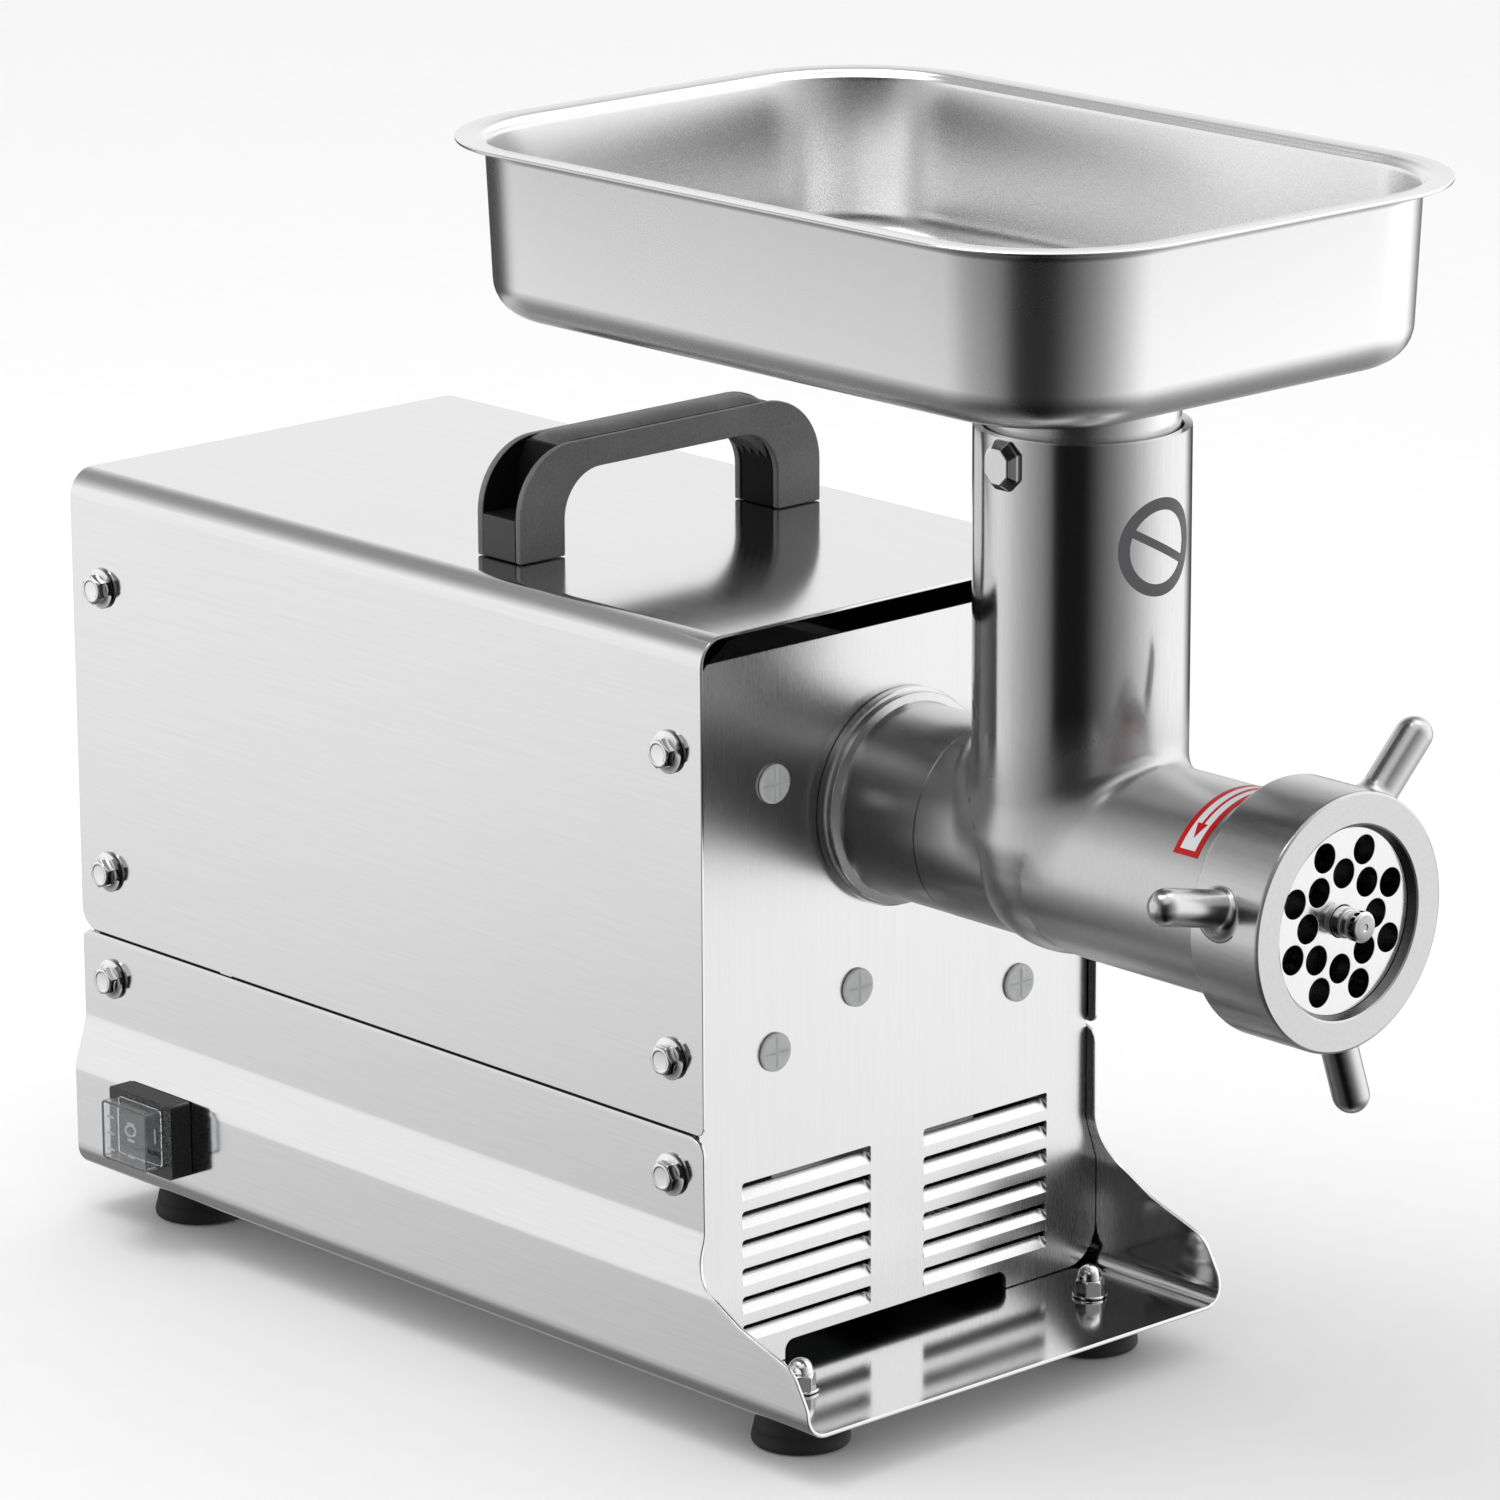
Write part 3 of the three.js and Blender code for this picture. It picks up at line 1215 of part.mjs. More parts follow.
function makeTray() {
  const floor = TRAY_FLOOR_Z;
  const under = TRAY_RIM_Z - TRAY_SHEET;
  const wallInset = (z) => TRAY_RIM_WIDTH + TRAY_TAPER * (TRAY_RIM_Z - z);
  const bendSteps = 3;
  // The outside's bend from wall to floor, as a list of [inset, z].
  const bend = Array.from({ length: bendSteps + 1 }, (_, k) => {
    const angle = (Math.PI / 2) * (k / bendSteps);
    return [
      wallInset(floor) + TRAY_BEND * (1 - Math.cos(angle)),
      floor + TRAY_BEND * (1 - Math.sin(angle)),
    ];
  });
  const shift = TRAY_SHEET;
  const rings = [
    trayRing(0, under),
    trayRing(TRAY_RIM_WIDTH, under),
    ...bend.map(([inset, z]) => trayRing(inset, z)),
    neckRing(NECK_TOP_R + 1.5, floor),
    neckRing(NECK_TOP_R, floor - 1.5),
    neckRing(NECK_RIM_R, TUBE_TOP_Z),
    neckRing(NECK_BOTTOM_R, NECK_BOTTOM_Z),
    neckRing(NECK_BOTTOM_R - shift, NECK_BOTTOM_Z),
    neckRing(NECK_RIM_R - shift, TUBE_TOP_Z),
    neckRing(NECK_TOP_R - shift, floor - 1),
    neckRing(NECK_TOP_R + 0.6, floor + shift),
    ...bend.map(([inset, z]) => trayRing(inset + shift * 0.8, z + shift * 0.8)).reverse(),
    trayRing(TRAY_RIM_WIDTH + shift, TRAY_RIM_Z - 1),
    trayRing(TRAY_RIM_WIDTH - 1, TRAY_RIM_Z),
    trayRing(0, TRAY_RIM_Z),
  ];
  return skinned(rings);
}

// ---------------------------------------------------------------------------------------------
// Assembly
// ---------------------------------------------------------------------------------------------

place(machine, 'base_chassis', makeBase(), steel);
place(machine, 'upper_cover', makeCover(), steel);
place(machine, 'front_panel', makeFrontPanel(), steel);
place(machine, 'rear_panel', makeRearPanel(), steel);
place(machine, 'cord_gland', makeGland(), blackPlastic);
place(machine, 'carry_handle', makeHandle(), blackPlastic);

const SIDES = { left: -1, right: 1 };
const boltNames = { [BOLT_ROWS[0]]: 'upper', [BOLT_ROWS[1]]: 'middle', [BOLT_ROWS[2]]: 'lower' };
const columnNames = { [BOLT_COLUMNS[0]]: 'front', [BOLT_COLUMNS[1]]: 'rear' };
for (const [sideName, side] of Object.entries(SIDES)) {
  for (const z of BOLT_ROWS) {
    for (const y of BOLT_COLUMNS) {
      const name = `flange_bolt_${sideName}_${columnNames[y]}_${boltNames[z]}`;
      const bolt = place(machine, name, makeFlangeBolt(), polished);
      bolt.position.set(side * HALF_WIDTH, y, z);
      bolt.rotation.y = (side * Math.PI) / 2;
    }
  }
  for (const [rowName, y] of [['front', FOOT_ROWS[0]], ['rear', FOOT_ROWS[1]]]) {
    const foot = place(machine, `foot_${rowName}_${sideName}`, makeFoot(), blackRubber);
    foot.position.set(side * FOOT_X, y, 0);
    const nut = place(machine, `acorn_nut_${rowName}_${sideName}`, makeAcornNut(), polished);
    nut.position.set(side * FOOT_X, y, FOOT_HEIGHT);
  }
}

const plugNames = ['upper_left', 'upper_right', 'lower_left', 'lower_right', 'centre'];
PLUG_PLACES.forEach(([x, z], i) => {
  const plug = place(machine, `panel_plug_${plugNames[i]}`, makePlug(), greyPlastic);
  plug.position.set(x, 0, z);
});

place(machine, 'switch_housing', makeSwitchHousing(), blackPlastic);
place(machine, 'switch_hood', makeSwitchHood(), clearPlastic);
const rocker = place(machine, 'switch_rocker', makeRocker(), blackPlastic);
rocker.position.set(ROCKER_PIVOT_X, SWITCH_Y, SWITCH_Z);
rocker.rotation.z = radians(ROCKER_REST_TILT);

place(machine, 'gearbox_housing', makeGearboxHousing(), aluminium);
place(machine, 'gearbox_cover', makeGearboxCover(), aluminium);
place(machine, 'motor_saddle', makeMotorSaddle(), aluminium);
const capacitor = place(machine, 'run_capacitor', makeCapacitor(), aluminium);
capacitor.position.set(CAPACITOR.x, CAPACITOR.y, 0);

const motor = new THREE.Group();
motor.position.z = MOTOR_Z;
machine.add(motor);
place(motor, 'motor_shell', makeMotorShell(), motorPaint);
place(motor, 'motor_end_bell', makeEndBell(), motorPaint);
place(motor, 'motor_rotor', makeRotor(), gearSteel);
place(motor, 'cooling_fan', makeFan(), blackPlastic);
const motorBearing = (y) => ringY(MOTOR_SHAFT_R + GAP, MOTOR_BEARING_R, y + GAP, y + END_BELL_WALL - GAP);
place(motor, 'motor_bearing_front', motorBearing(MOTOR_FRONT_Y), polished);
place(motor, 'motor_bearing_rear', motorBearing(MOTOR_BACK_Y - END_BELL_WALL), polished);

const layshaft = new THREE.Group();
layshaft.position.z = LAYSHAFT_Z;
machine.add(layshaft);
place(layshaft, 'layshaft', makeLayshaft(), gearSteel);
place(layshaft, 'layshaft_wheel', makeWheel(INPUT_STAGE_Y, LAYSHAFT_R), gearSteel);

const head = new THREE.Group();
head.position.z = AXIS_Z;
machine.add(head);
place(head, 'output_shaft', makeOutputShaft(), gearSteel);
place(head, 'output_wheel', makeWheel(OUTPUT_STAGE_Y, OUTPUT_SHAFT_R), gearSteel);
const noseBearing = ringY(OUTPUT_SHAFT_R + GAP, SOCKET_BEARING_R, 2 + GAP, GEARBOX_FRONT_Y - 2 * GAP);
place(head, 'output_bearing_front', noseBearing, polished);
const tailBearing = ringY(
  OUTPUT_TAIL_R + GAP,
  REAR_BEARING_R,
  GEARBOX_SPLIT_Y + 2 * GAP,
  GEARBOX_BACK_Y - GAP,
);
place(head, 'output_bearing_rear', tailBearing, polished);
place(head, 'head_socket', makeSocket(), castSteel);
const knob = place(head, 'lock_knob', makeKnob(), blackPlastic);
knob.position.y = KNOB_Y;
place(head, 'grinder_head', makeHead(), castSteel);
place(head, 'thrust_washer', ringY(OUTPUT_NOSE_R + 1.2, AUGER_BORE_R - 0.5, -50.3, -48.3), fibre);
place(head, 'auger', makeAuger(), castSteel);
place(head, 'auger_stud', makeStud(), gearSteel);
place(head, 'knife', makeKnife(), gearSteel);
place(head, 'grinding_plate', makePlate(), polished);
place(head, 'ring_nut', makeRing(), castSteel);

place(machine, 'feed_tray', makeTray(), steel);

// The origin is the centre of the footprint, at foot level.
const extent = new THREE.Box3().setFromObject(machine, true);
const centre = extent.getCenter(new THREE.Vector3());
machine.position.set(-centre.x, -centre.y, -extent.min.z);

export default machine;
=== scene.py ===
"""Looks for the counter-top electric meat grinder.

Lengths below are millimetres in the machine's own drawing frame: X across the machine with 0 on its middle
plane, Y back from the cover's front edge, Z up from the counter. finish_mesh turns them into metres.
"""

import math

import bmesh
import bpy
from mathutils import Matrix, Vector
from mathutils.geometry import delaunay_2d_cdt


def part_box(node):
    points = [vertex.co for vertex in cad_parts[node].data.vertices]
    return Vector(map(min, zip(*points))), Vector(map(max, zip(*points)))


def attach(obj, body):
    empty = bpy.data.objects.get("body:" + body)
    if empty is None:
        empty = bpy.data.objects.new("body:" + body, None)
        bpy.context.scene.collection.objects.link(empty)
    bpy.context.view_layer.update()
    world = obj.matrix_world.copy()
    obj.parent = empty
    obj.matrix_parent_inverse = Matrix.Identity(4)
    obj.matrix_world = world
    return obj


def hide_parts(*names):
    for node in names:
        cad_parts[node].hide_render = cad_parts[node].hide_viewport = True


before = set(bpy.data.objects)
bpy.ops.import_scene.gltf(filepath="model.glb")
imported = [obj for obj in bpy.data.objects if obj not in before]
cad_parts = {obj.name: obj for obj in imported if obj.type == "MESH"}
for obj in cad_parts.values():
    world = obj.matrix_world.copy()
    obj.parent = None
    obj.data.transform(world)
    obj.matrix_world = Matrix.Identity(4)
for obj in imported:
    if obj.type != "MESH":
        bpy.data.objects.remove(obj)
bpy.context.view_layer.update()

MM = 0.001
COVER_LOW, COVER_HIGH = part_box("upper_cover")
ORIGIN = Vector(((COVER_LOW.x + COVER_HIGH.x) / 2, COVER_LOW.y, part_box("foot_front_left")[0].z))
TO_FRAME = Matrix.Translation(ORIGIN) @ Matrix.Scale(MM, 4)

# Sizes of the machine, as its solids have them; AXIS is the height of the feed screw's axis
HALF = (COVER_HIGH.x - COVER_LOW.x) / 2 / MM
DEPTH = (COVER_HIGH.y - COVER_LOW.y) / MM
TOP = (COVER_HIGH.z - ORIGIN.z) / MM
SEAM, GAP = 110.0, 0.45
FLARE = (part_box("base_chassis")[1].x - ORIGIN.x) / MM
FLOOR = (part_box("base_chassis")[0].z - ORIGIN.z) / MM
LIP = 59.0
FLARE_TOP, FLARE_FOOT = 74.0, 57.0
BASE_SHEET, COVER_SHEET, PANEL_SHEET = 1.5, 1.2, 1.5
PANEL_Y = 4.0
PANEL_TOP = 276.5
AXIS = 213.6
TUBE_Y, TUBE_R, TUBE_TOP, TUBE_BORE = -85.4, 36.9, 361.6, 33.4

# ---- Meshes ----


def polar(r, degrees):
    a = math.radians(degrees)
    return r * math.cos(a), r * math.sin(a)


def drawn(place):
    """A place in the frame, in drawing millimetres."""
    return (place - ORIGIN) / MM


def linked(name, data):
    """A new object in the scene."""
    obj = bpy.data.objects.new(name, data)
    bpy.context.scene.collection.objects.link(obj)
    return obj


def finish_mesh(bm, name, sharp=32.0, smooth=True):
    """Turns a bmesh in drawing millimetres into an object in the frame's metres."""
    bmesh.ops.remove_doubles(bm, verts=bm.verts, dist=1e-4)
    bmesh.ops.dissolve_degenerate(bm, edges=bm.edges, dist=1e-5)
    bmesh.ops.recalc_face_normals(bm, faces=bm.faces)
    mesh = bpy.data.meshes.new(name)
    bm.to_mesh(mesh)
    bm.free()
    mesh.transform(TO_FRAME)
    obj = linked(name, mesh)
    return smooth_by_angle(obj, sharp) if smooth else obj


def modified(obj, kind, **settings):
    """Replaces the object's mesh by what one modifier makes of it."""
    modifier = obj.modifiers.new(kind, kind)
    for key, value in settings.items():
        setattr(modifier, key, value)
    dg = bpy.context.evaluated_depsgraph_get()
    mesh = bpy.data.meshes.new_from_object(obj.evaluated_get(dg))
    old = obj.data
    obj.modifiers.clear()
    obj.data = mesh
    bpy.data.meshes.remove(old)
    return obj


def smooth_by_angle(obj, angle=32.0):
    obj.data.shade_smooth()
    obj.data.set_sharp_from_angle(angle=math.radians(angle))
    return obj


def weighted(obj):
    """Weights each corner's normal by face area, so wide flats stay flat beside their rounded edges."""
    return modified(obj, "WEIGHTED_NORMAL", mode="FACE_AREA", weight=50, keep_sharp=True)


def bevelled(obj, width, segments=2, angle=40.0):
    """Rounds the object's sharp edges by a width in millimetres."""
    modified(obj, "BEVEL", width=width * MM, segments=segments, limit_method="ANGLE",
             angle_limit=math.radians(angle), use_clamp_overlap=True, miter_outer="MITER_ARC")
    return weighted(smooth_by_angle(obj))


def thickened(obj, thickness, offset=-1.0):
    return modified(obj, "SOLIDIFY", thickness=thickness * MM, offset=offset, use_even_offset=True)


def cut_by(obj, cutters, operation="DIFFERENCE"):
    """Boolean with each cutter in turn; the cutters are removed."""
    for cutter in cutters:
        modified(obj, "BOOLEAN", operation=operation, solver="EXACT", object=cutter)
        bpy.data.objects.remove(cutter)
    return obj


def joined(objs, name):
    """One object from several, with no boolean."""
    bm = bmesh.new()
    for o in objs:
        bm.from_mesh(o.data)
    mesh = bpy.data.meshes.new(name)
    bm.to_mesh(mesh)
    bm.free()
    for m in objs[0].data.materials:
        mesh.materials.append(m)
    out = linked(name, mesh)
    for o in objs:
        bpy.data.objects.remove(o)
    return weighted(out)


def reshape(obj, move):
    """Moves each vertex to where move(place in drawing millimetres) says, unless that is None."""
    for v in obj.data.vertices:
        place = move(drawn(v.co))
        if place is not None:
            v.co = ORIGIN + place * MM
    return obj


def turned_about(obj, axis, degrees, point):
    """Turns the mesh about a line through a point given in drawing millimetres."""
    p = TO_FRAME @ Vector(point)
    t = Matrix.Translation(p) @ Matrix.Rotation(math.radians(degrees), 4, axis) @ Matrix.Translation(-p)
    obj.data.transform(t)
    return obj


FRAMES = {  # where a drawn (u, v, w) goes: w is the axis of turning or extrusion
    "x": lambda u, v, w: (w, u, v),
    "y": lambda u, v, w: (u, w, v),
    "z": lambda u, v, w: (u, v, w),
}


def skin(bm, rows, closed=False):
    """Quads between neighbouring rows of vertices; a closed row ends where it starts."""
    for a, b in zip(rows, rows[1:]):
        for k in range(len(a) if closed else len(a) - 1):
            n = (k + 1) % len(a)
            bm.faces.new((a[k], a[n], b[n], b[k]))


def lathe(name, profile, axis="y", steps=96, centre=(0, 0, 0), closed=False, radius_at=None, sharp=32.0):
    """Turns a profile of (radius, w). radius_at(radius, angle) may bend the circle."""
    bm = bmesh.new()
    place = FRAMES[axis]

    def vertex(r, a, w):
        bent = radius_at(r, a) if radius_at and r else r
        return bm.verts.new(Vector(place(bent * math.cos(a), bent * math.sin(a), w)) + Vector(centre))

    rings = [[vertex(r, 2 * math.pi * k / steps, w) for k in range(steps if r else 1)] for r, w in profile]
    for a, b in zip(rings, rings[1:] + (rings[:1] if closed else [])):
        if len(a) == len(b):
            skin(bm, [a, b] if len(a) > 1 else [], closed=True)
            continue
        for k in range(steps):
            n = (k + 1) % steps
            bm.faces.new((a[0], b[n], b[k]) if len(a) == 1 else (a[k], a[n], b[0]))
    return finish_mesh(bm, name, sharp)


def arc(cx, cy, r, a0, a1, n):
    """Points on an arc, in degrees."""
    return [(cx + u, cy + v) for u, v in (polar(r, a0 + (a1 - a0) * k / n) for k in range(n + 1))]


def rounded_rect(w, h, r, cx=0.0, cy=0.0, n=6):
    x0, x1, y0, y1 = cx - w / 2 + r, cx + w / 2 - r, cy - h / 2 + r, cy + h / 2 - r
    corners = ((x1, y0, -90), (x1, y1, 0), (x0, y1, 90), (x0, y0, 180))
    return [point for x, y, turn in corners for point in arc(x, y, r, turn, turn + 90, n)]


def circle(r, cx=0.0, cy=0.0, n=32):
    return arc(cx, cy, r, 0, 360, n)[:-1]


def bend(corners, steps=6):
    """A path through (x, y, radius) corners, each inner corner rounded."""
    path = [Vector(corners[0][:2])]
    for i in range(1, len(corners) - 1):
        p = Vector(corners[i][:2])
        a = (Vector(corners[i - 1][:2]) - p).normalized()
        b = (Vector(corners[i + 1][:2]) - p).normalized()
        r = corners[i][2]
        if r <= 0:
            path.append(p)
            continue
        half = math.acos(max(-1, min(1, a.dot(b)))) / 2
        c = p + (a + b).normalized() * (r / math.sin(half))
        start = p + a * (r / math.tan(half)) - c
        cross = b.x * a.y - b.y * a.x
        sweep = (math.pi - 2 * half) * (1 if cross > 0 else -1)
        for k in range(steps + 1):
            t = sweep * k / steps
            path.append(Vector((
                c.x + start.x * math.cos(t) - start.y * math.sin(t),
                c.y + start.x * math.sin(t) + start.y * math.cos(t),
            )))
    path.append(Vector(corners[-1][:2]))
    return path


def flat_faces(bm, outline, holes, axis, w):
    """Fills a flat outline with holes, in the plane at w, with faces that share its border points."""
    points, edges = [], []
    for loop in [outline, *holes]:
        start = len(points)
        points += [Vector((p[0], p[1])) for p in loop]
        edges += [(start + k, start + (k + 1) % len(loop)) for k in range(len(loop))]
    out, _, faces, _, _, _ = delaunay_2d_cdt(points, edges, [], 2, 1e-5)

    def inside(loop, x, y):
        hit = False
        for k in range(len(loop)):
            (x0, y0), (x1, y1) = loop[k][:2], loop[k - 1][:2]
            if (y0 > y) != (y1 > y) and x < (x1 - x0) * (y - y0) / (y1 - y0) + x0:
                hit = not hit
        return hit

    place = FRAMES[axis]
    verts = [bm.verts.new(place(p.x, p.y, w)) for p in out]
    for f in faces:
        cx = sum(out[i].x for i in f) / len(f)
        cy = sum(out[i].y for i in f) / len(f)
        if inside(outline, cx, cy) and not any(inside(h, cx, cy) for h in holes):
            bm.faces.new([verts[i] for i in f])


def plate(name, outline, holes, axis, w0, w1, sharp=32.0):
    """A flat plate between w0 and w1, with holes right through it."""
    bm = bmesh.new()
    flat_faces(bm, outline, holes, axis, w0)
    flat_faces(bm, outline, holes, axis, w1)
    place = FRAMES[axis]
    for loop in [outline, *holes]:
        low = [bm.verts.new(place(p[0], p[1], w0)) for p in loop]
        high = [bm.verts.new(place(p[0], p[1], w1)) for p in loop]
        skin(bm, [low, high], closed=True)
    return finish_mesh(bm, name, sharp)


def tube_between(name, sections, cap=True, sharp=60.0):
    """Skins a list of closed rings of points in space."""
    bm = bmesh.new()
    rings = [[bm.verts.new(p) for p in ring] for ring in sections]
    skin(bm, rings, closed=True)
    if cap:
        bm.faces.new(rings[0])
        bm.faces.new(rings[-1][::-1])
    return finish_mesh(bm, name, sharp)


# ---- Materials ----


class Nodes:
    """A node tree, written shortly."""

    def __init__(self, tree):
        self.tree = tree

    def new(self, kind, **settings):
        node = self.tree.nodes.new(kind)
        for key, value in settings.items():
            setattr(node, key, value)
        return node

    def link(self, a, b):
        self.tree.links.new(a, b)

    def fed(self, kind, source, socket="Vector", **inputs):
        """A node whose named socket takes the source, with its other inputs set."""
        node = self.new(kind)
        self.link(source, node.inputs[socket])
        for key, value in inputs.items():
            node.inputs[key.replace("_", " ")].default_value = value
        return node

    def span(self, value, low, high, from_low=0.0, from_high=1.0):
        ends = dict(From_Min=from_low, From_Max=from_high, To_Min=low, To_Max=high)
        return self.fed("ShaderNodeMapRange", value, "Value", **ends).outputs["Result"]

    def maths(self, operation, *values):
        node = self.new("ShaderNodeMath", operation=operation)
        for socket, value in zip(node.inputs, values):
            if isinstance(value, (int, float)):
                socket.default_value = value
            else:
                self.link(value, socket)
        return node.outputs["Value"]


class Finish(Nodes):
    """A material with a Principled shader."""

    def __init__(self, name, **values):
        self.mat = bpy.data.materials.new(name)
        self.mat.use_nodes = True
        super().__init__(self.mat.node_tree)
        self.shader = self.tree.nodes["Principled BSDF"]
        self.place = self.new("ShaderNodeTexCoord").outputs["Object"]
        for key, value in values.items():
            self.shader.inputs[key.replace("_", " ")].default_value = value

    def noise(self, scale, detail=3.0, roughness=0.5, stretch=(1, 1, 1)):
        mapping = self.fed("ShaderNodeMapping", self.place, Scale=stretch)
        node = self.fed("ShaderNodeTexNoise", mapping.outputs["Vector"], Scale=scale, Detail=detail,
                        Roughness=roughness)
        return node.outputs["Fac"]

    def blend(self, factor, a, b):
        m = self.new("ShaderNodeMix", data_type="RGBA")
        self.link(factor, m.inputs["Factor"])
        m.inputs["A"].default_value = (*a, 1)
        m.inputs["B"].default_value = (*b, 1)
        return m.outputs["Result"]

    def bump(self, height, strength, distance=0.0002):
        b = self.fed("ShaderNodeBump", height, "Height", Strength=strength, Distance=distance)
        self.link(b.outputs["Normal"], self.shader.inputs["Normal"])

    def colour(self, socket):
        self.link(socket, self.shader.inputs["Base Color"])

    def rough(self, socket):
        self.link(socket, self.shader.inputs["Roughness"])


def grey(level, blue=0.0):
    return level, level, level + blue


def brushed(name, light, dark, rough, stretch, strength=0.04, waves=0.012, fine=2600.0, satin=None):
    """Stainless steel with a fine grain: stretch is the grain's scale along X, Y and Z.

    satin is (low, high, extra): two heights in drawing millimetres, and how much rougher the steel is below
    the lower. The heights climb towards the front of the head, where the tube meets the barrel.
    """
    n = Finish(name, Metallic=1.0)
    grain = n.noise(fine, 3.0, 0.6, stretch)
    streak = n.noise(fine / 3.2, 2.0, 0.5, stretch)
    smudge = n.noise(7.0, 3.0, 0.5)
    wave = n.noise(4.0, 1.0, 0.4)
    tone = n.maths("ADD", n.maths("MULTIPLY", grain, 0.6), n.maths("MULTIPLY", streak, 0.4))
    n.colour(n.blend(n.span(tone, 0.0, 1.0, 0.3, 0.7), dark, light))
    r = n.maths("ADD", n.span(grain, rough[0], rough[1], 0.3, 0.7), n.span(smudge, -0.012, 0.018, 0.3, 0.7))
    if satin:
        low, high, extra = satin
        split = n.fed("ShaderNodeSeparateXYZ", n.place)
        ahead = n.maths("MINIMUM", n.maths("SUBTRACT", split.outputs["Y"], ORIGIN.y + TUBE_Y * MM), 0.0)
        level = n.maths("ADD", split.outputs["Z"], n.maths("MULTIPLY", ahead, 0.5))
        r = n.maths("ADD", r, n.span(level, extra, 0.0, ORIGIN.z + low * MM, ORIGIN.z + high * MM))
    n.rough(r)
    height = n.maths("ADD", n.maths("MULTIPLY", grain, strength), n.maths("MULTIPLY", wave, waves * 20))
    n.bump(height, 0.35, 0.0001)
    return n.mat


ALONG_Y = (1.0, 0.02, 1.0)
ALONG_Z = (1.0, 1.0, 0.02)

STEEL_COVER = brushed("cover_steel", grey(0.78), grey(0.73, 0.005), (0.10, 0.13), ALONG_Y)
STEEL_BASE = brushed("base_steel", grey(0.77), grey(0.72, 0.005), (0.10, 0.14), ALONG_Y)
STEEL_PANEL = brushed("panel_steel", grey(0.79), grey(0.75, 0.005), (0.24, 0.28), ALONG_Z, 0.02)
STEEL_TRAY = brushed("tray_steel", grey(0.87), grey(0.84, 0.005), (0.24, 0.28), (1, 1, 1), 0.03)
STEEL_HEAD = brushed("head_steel", grey(0.64, 0.005), grey(0.58, 0.005), (0.10, 0.13), (1, 1, 0.1),
                     0.02, 0.005, satin=(AXIS + 28, AXIS + 44, 0.18))
STEEL_RING = brushed("ring_steel", grey(0.61), grey(0.55), (0.20, 0.26), (1, 0.1, 1), 0.03)
STEEL_PLATE = brushed("plate_steel", grey(0.76), grey(0.71), (0.12, 0.18), (1, 1, 1), 0.03)
STEEL_BRIGHT = brushed("bright_steel", grey(0.82), grey(0.78), (0.05, 0.09), (1, 1, 1), 0.02, 0.0)
STEEL_GEAR = brushed("gear_steel", grey(0.52, 0.01), grey(0.42, 0.01), (0.26, 0.38), (1, 1, 1), 0.08,
                     0.01, 1400.0)
# Dark steel used as painted shade on the ring nut's inner lip and on the walls of the plate's holes
STEEL_SHADE = brushed("shade_steel", grey(0.16), grey(0.11), (0.22, 0.32), (1, 1, 1), 0.04)
STEEL_BEARING = brushed("bearing_steel", (0.70, 0.71, 0.73), (0.62, 0.63, 0.65), (0.10, 0.18), (1, 1, 1),
                        0.03)


def cast(name, light, dark, rough, metallic=1.0):
    """Sand-cast metal: a pebbled skin."""
    n = Finish(name, Metallic=metallic)
    pebble = n.noise(700.0, 5.0, 0.65)
    cloud = n.noise(22.0, 4.0, 0.6)
    n.colour(n.blend(n.span(cloud, 0.0, 1.0, 0.35, 0.65), dark, light))
    n.rough(n.span(pebble, rough[0], rough[1], 0.3, 0.7))
    n.bump(pebble, 0.5, 0.0002)
    return n.mat


ALUMINIUM = cast("cast_aluminium", (0.66, 0.67, 0.68), (0.52, 0.53, 0.54), (0.38, 0.55))
MOTOR_PAINT = cast("motor_paint", (0.055, 0.06, 0.065), (0.03, 0.033, 0.036), (0.35, 0.5), 0.0)
FIBRE = cast("fibre", (0.78, 0.74, 0.65), (0.62, 0.58, 0.5), (0.6, 0.8), 0.0)


def moulded(name, light, dark, rough, grain=0.35, size=1500.0, specular=0.5):
    """Moulded plastic or rubber with a spark-eroded texture."""
    n = Finish(name, Specular_IOR_Level=specular)
    spark = n.noise(size, 4.0, 0.7)
    cloud = n.noise(35.0, 4.0, 0.6)
    mix = n.maths("ADD", n.maths("MULTIPLY", spark, 0.5), n.maths("MULTIPLY", cloud, 0.5))
    n.colour(n.blend(n.span(mix, 0.0, 1.0, 0.35, 0.65), dark, light))
    n.rough(n.span(spark, rough[0], rough[1], 0.3, 0.7))
    n.bump(spark, grain, 0.00012)
    return n.mat


BLACK_PLASTIC = moulded("handle_plastic", grey(0.045, 0.002), grey(0.024, 0.001), (0.38, 0.52), 0.3)
WEB_PLASTIC = moulded("web_plastic", grey(0.165, 0.002), grey(0.085, 0.001), (0.38, 0.52), 1.0, 900.0)
GRIP_PLASTIC = moulded("grip_plastic", grey(0.12), grey(0.02), (0.34, 0.55), 1.0, 700.0)
# Near-black plastic used as painted shade: the handle's recessed core, the inner faces of its webs and the
# tops of its sills
PAINTED_SHADE_PLASTIC = moulded("painted_shade_plastic", grey(0.006), grey(0.003), (0.5, 0.65), specular=0.12)
SWITCH_PLASTIC = moulded("switch_plastic", grey(0.02, 0.001), grey(0.012), (0.22, 0.34), 0.15)
RUBBER = moulded("foot_rubber", grey(0.02), grey(0.01), (0.55, 0.75), 0.4, 800.0, 0.35)
FAN_PLASTIC = moulded("fan_plastic", grey(0.03, 0.002), grey(0.018, 0.002), (0.4, 0.6))


CLEAR_IOR = 1.49


def clear(name, colour, rough, transmission):
    n = Finish(name, Transmission_Weight=transmission, IOR=CLEAR_IOR)
    haze = n.noise(160.0, 3.0, 0.5)
    n.rough(n.span(haze, rough[0], rough[1], 0.3, 0.7))
    n.colour(n.blend(haze, colour, tuple(min(1, c * 1.04) for c in colour)))
    return n.mat


HOOD_PLASTIC = clear("hood_plastic", (0.93, 0.95, 0.96), (0.03, 0.09), 0.96)
PLUG_PLASTIC = clear("plug_plastic", (0.62, 0.625, 0.63), (0.16, 0.26), 0.3)


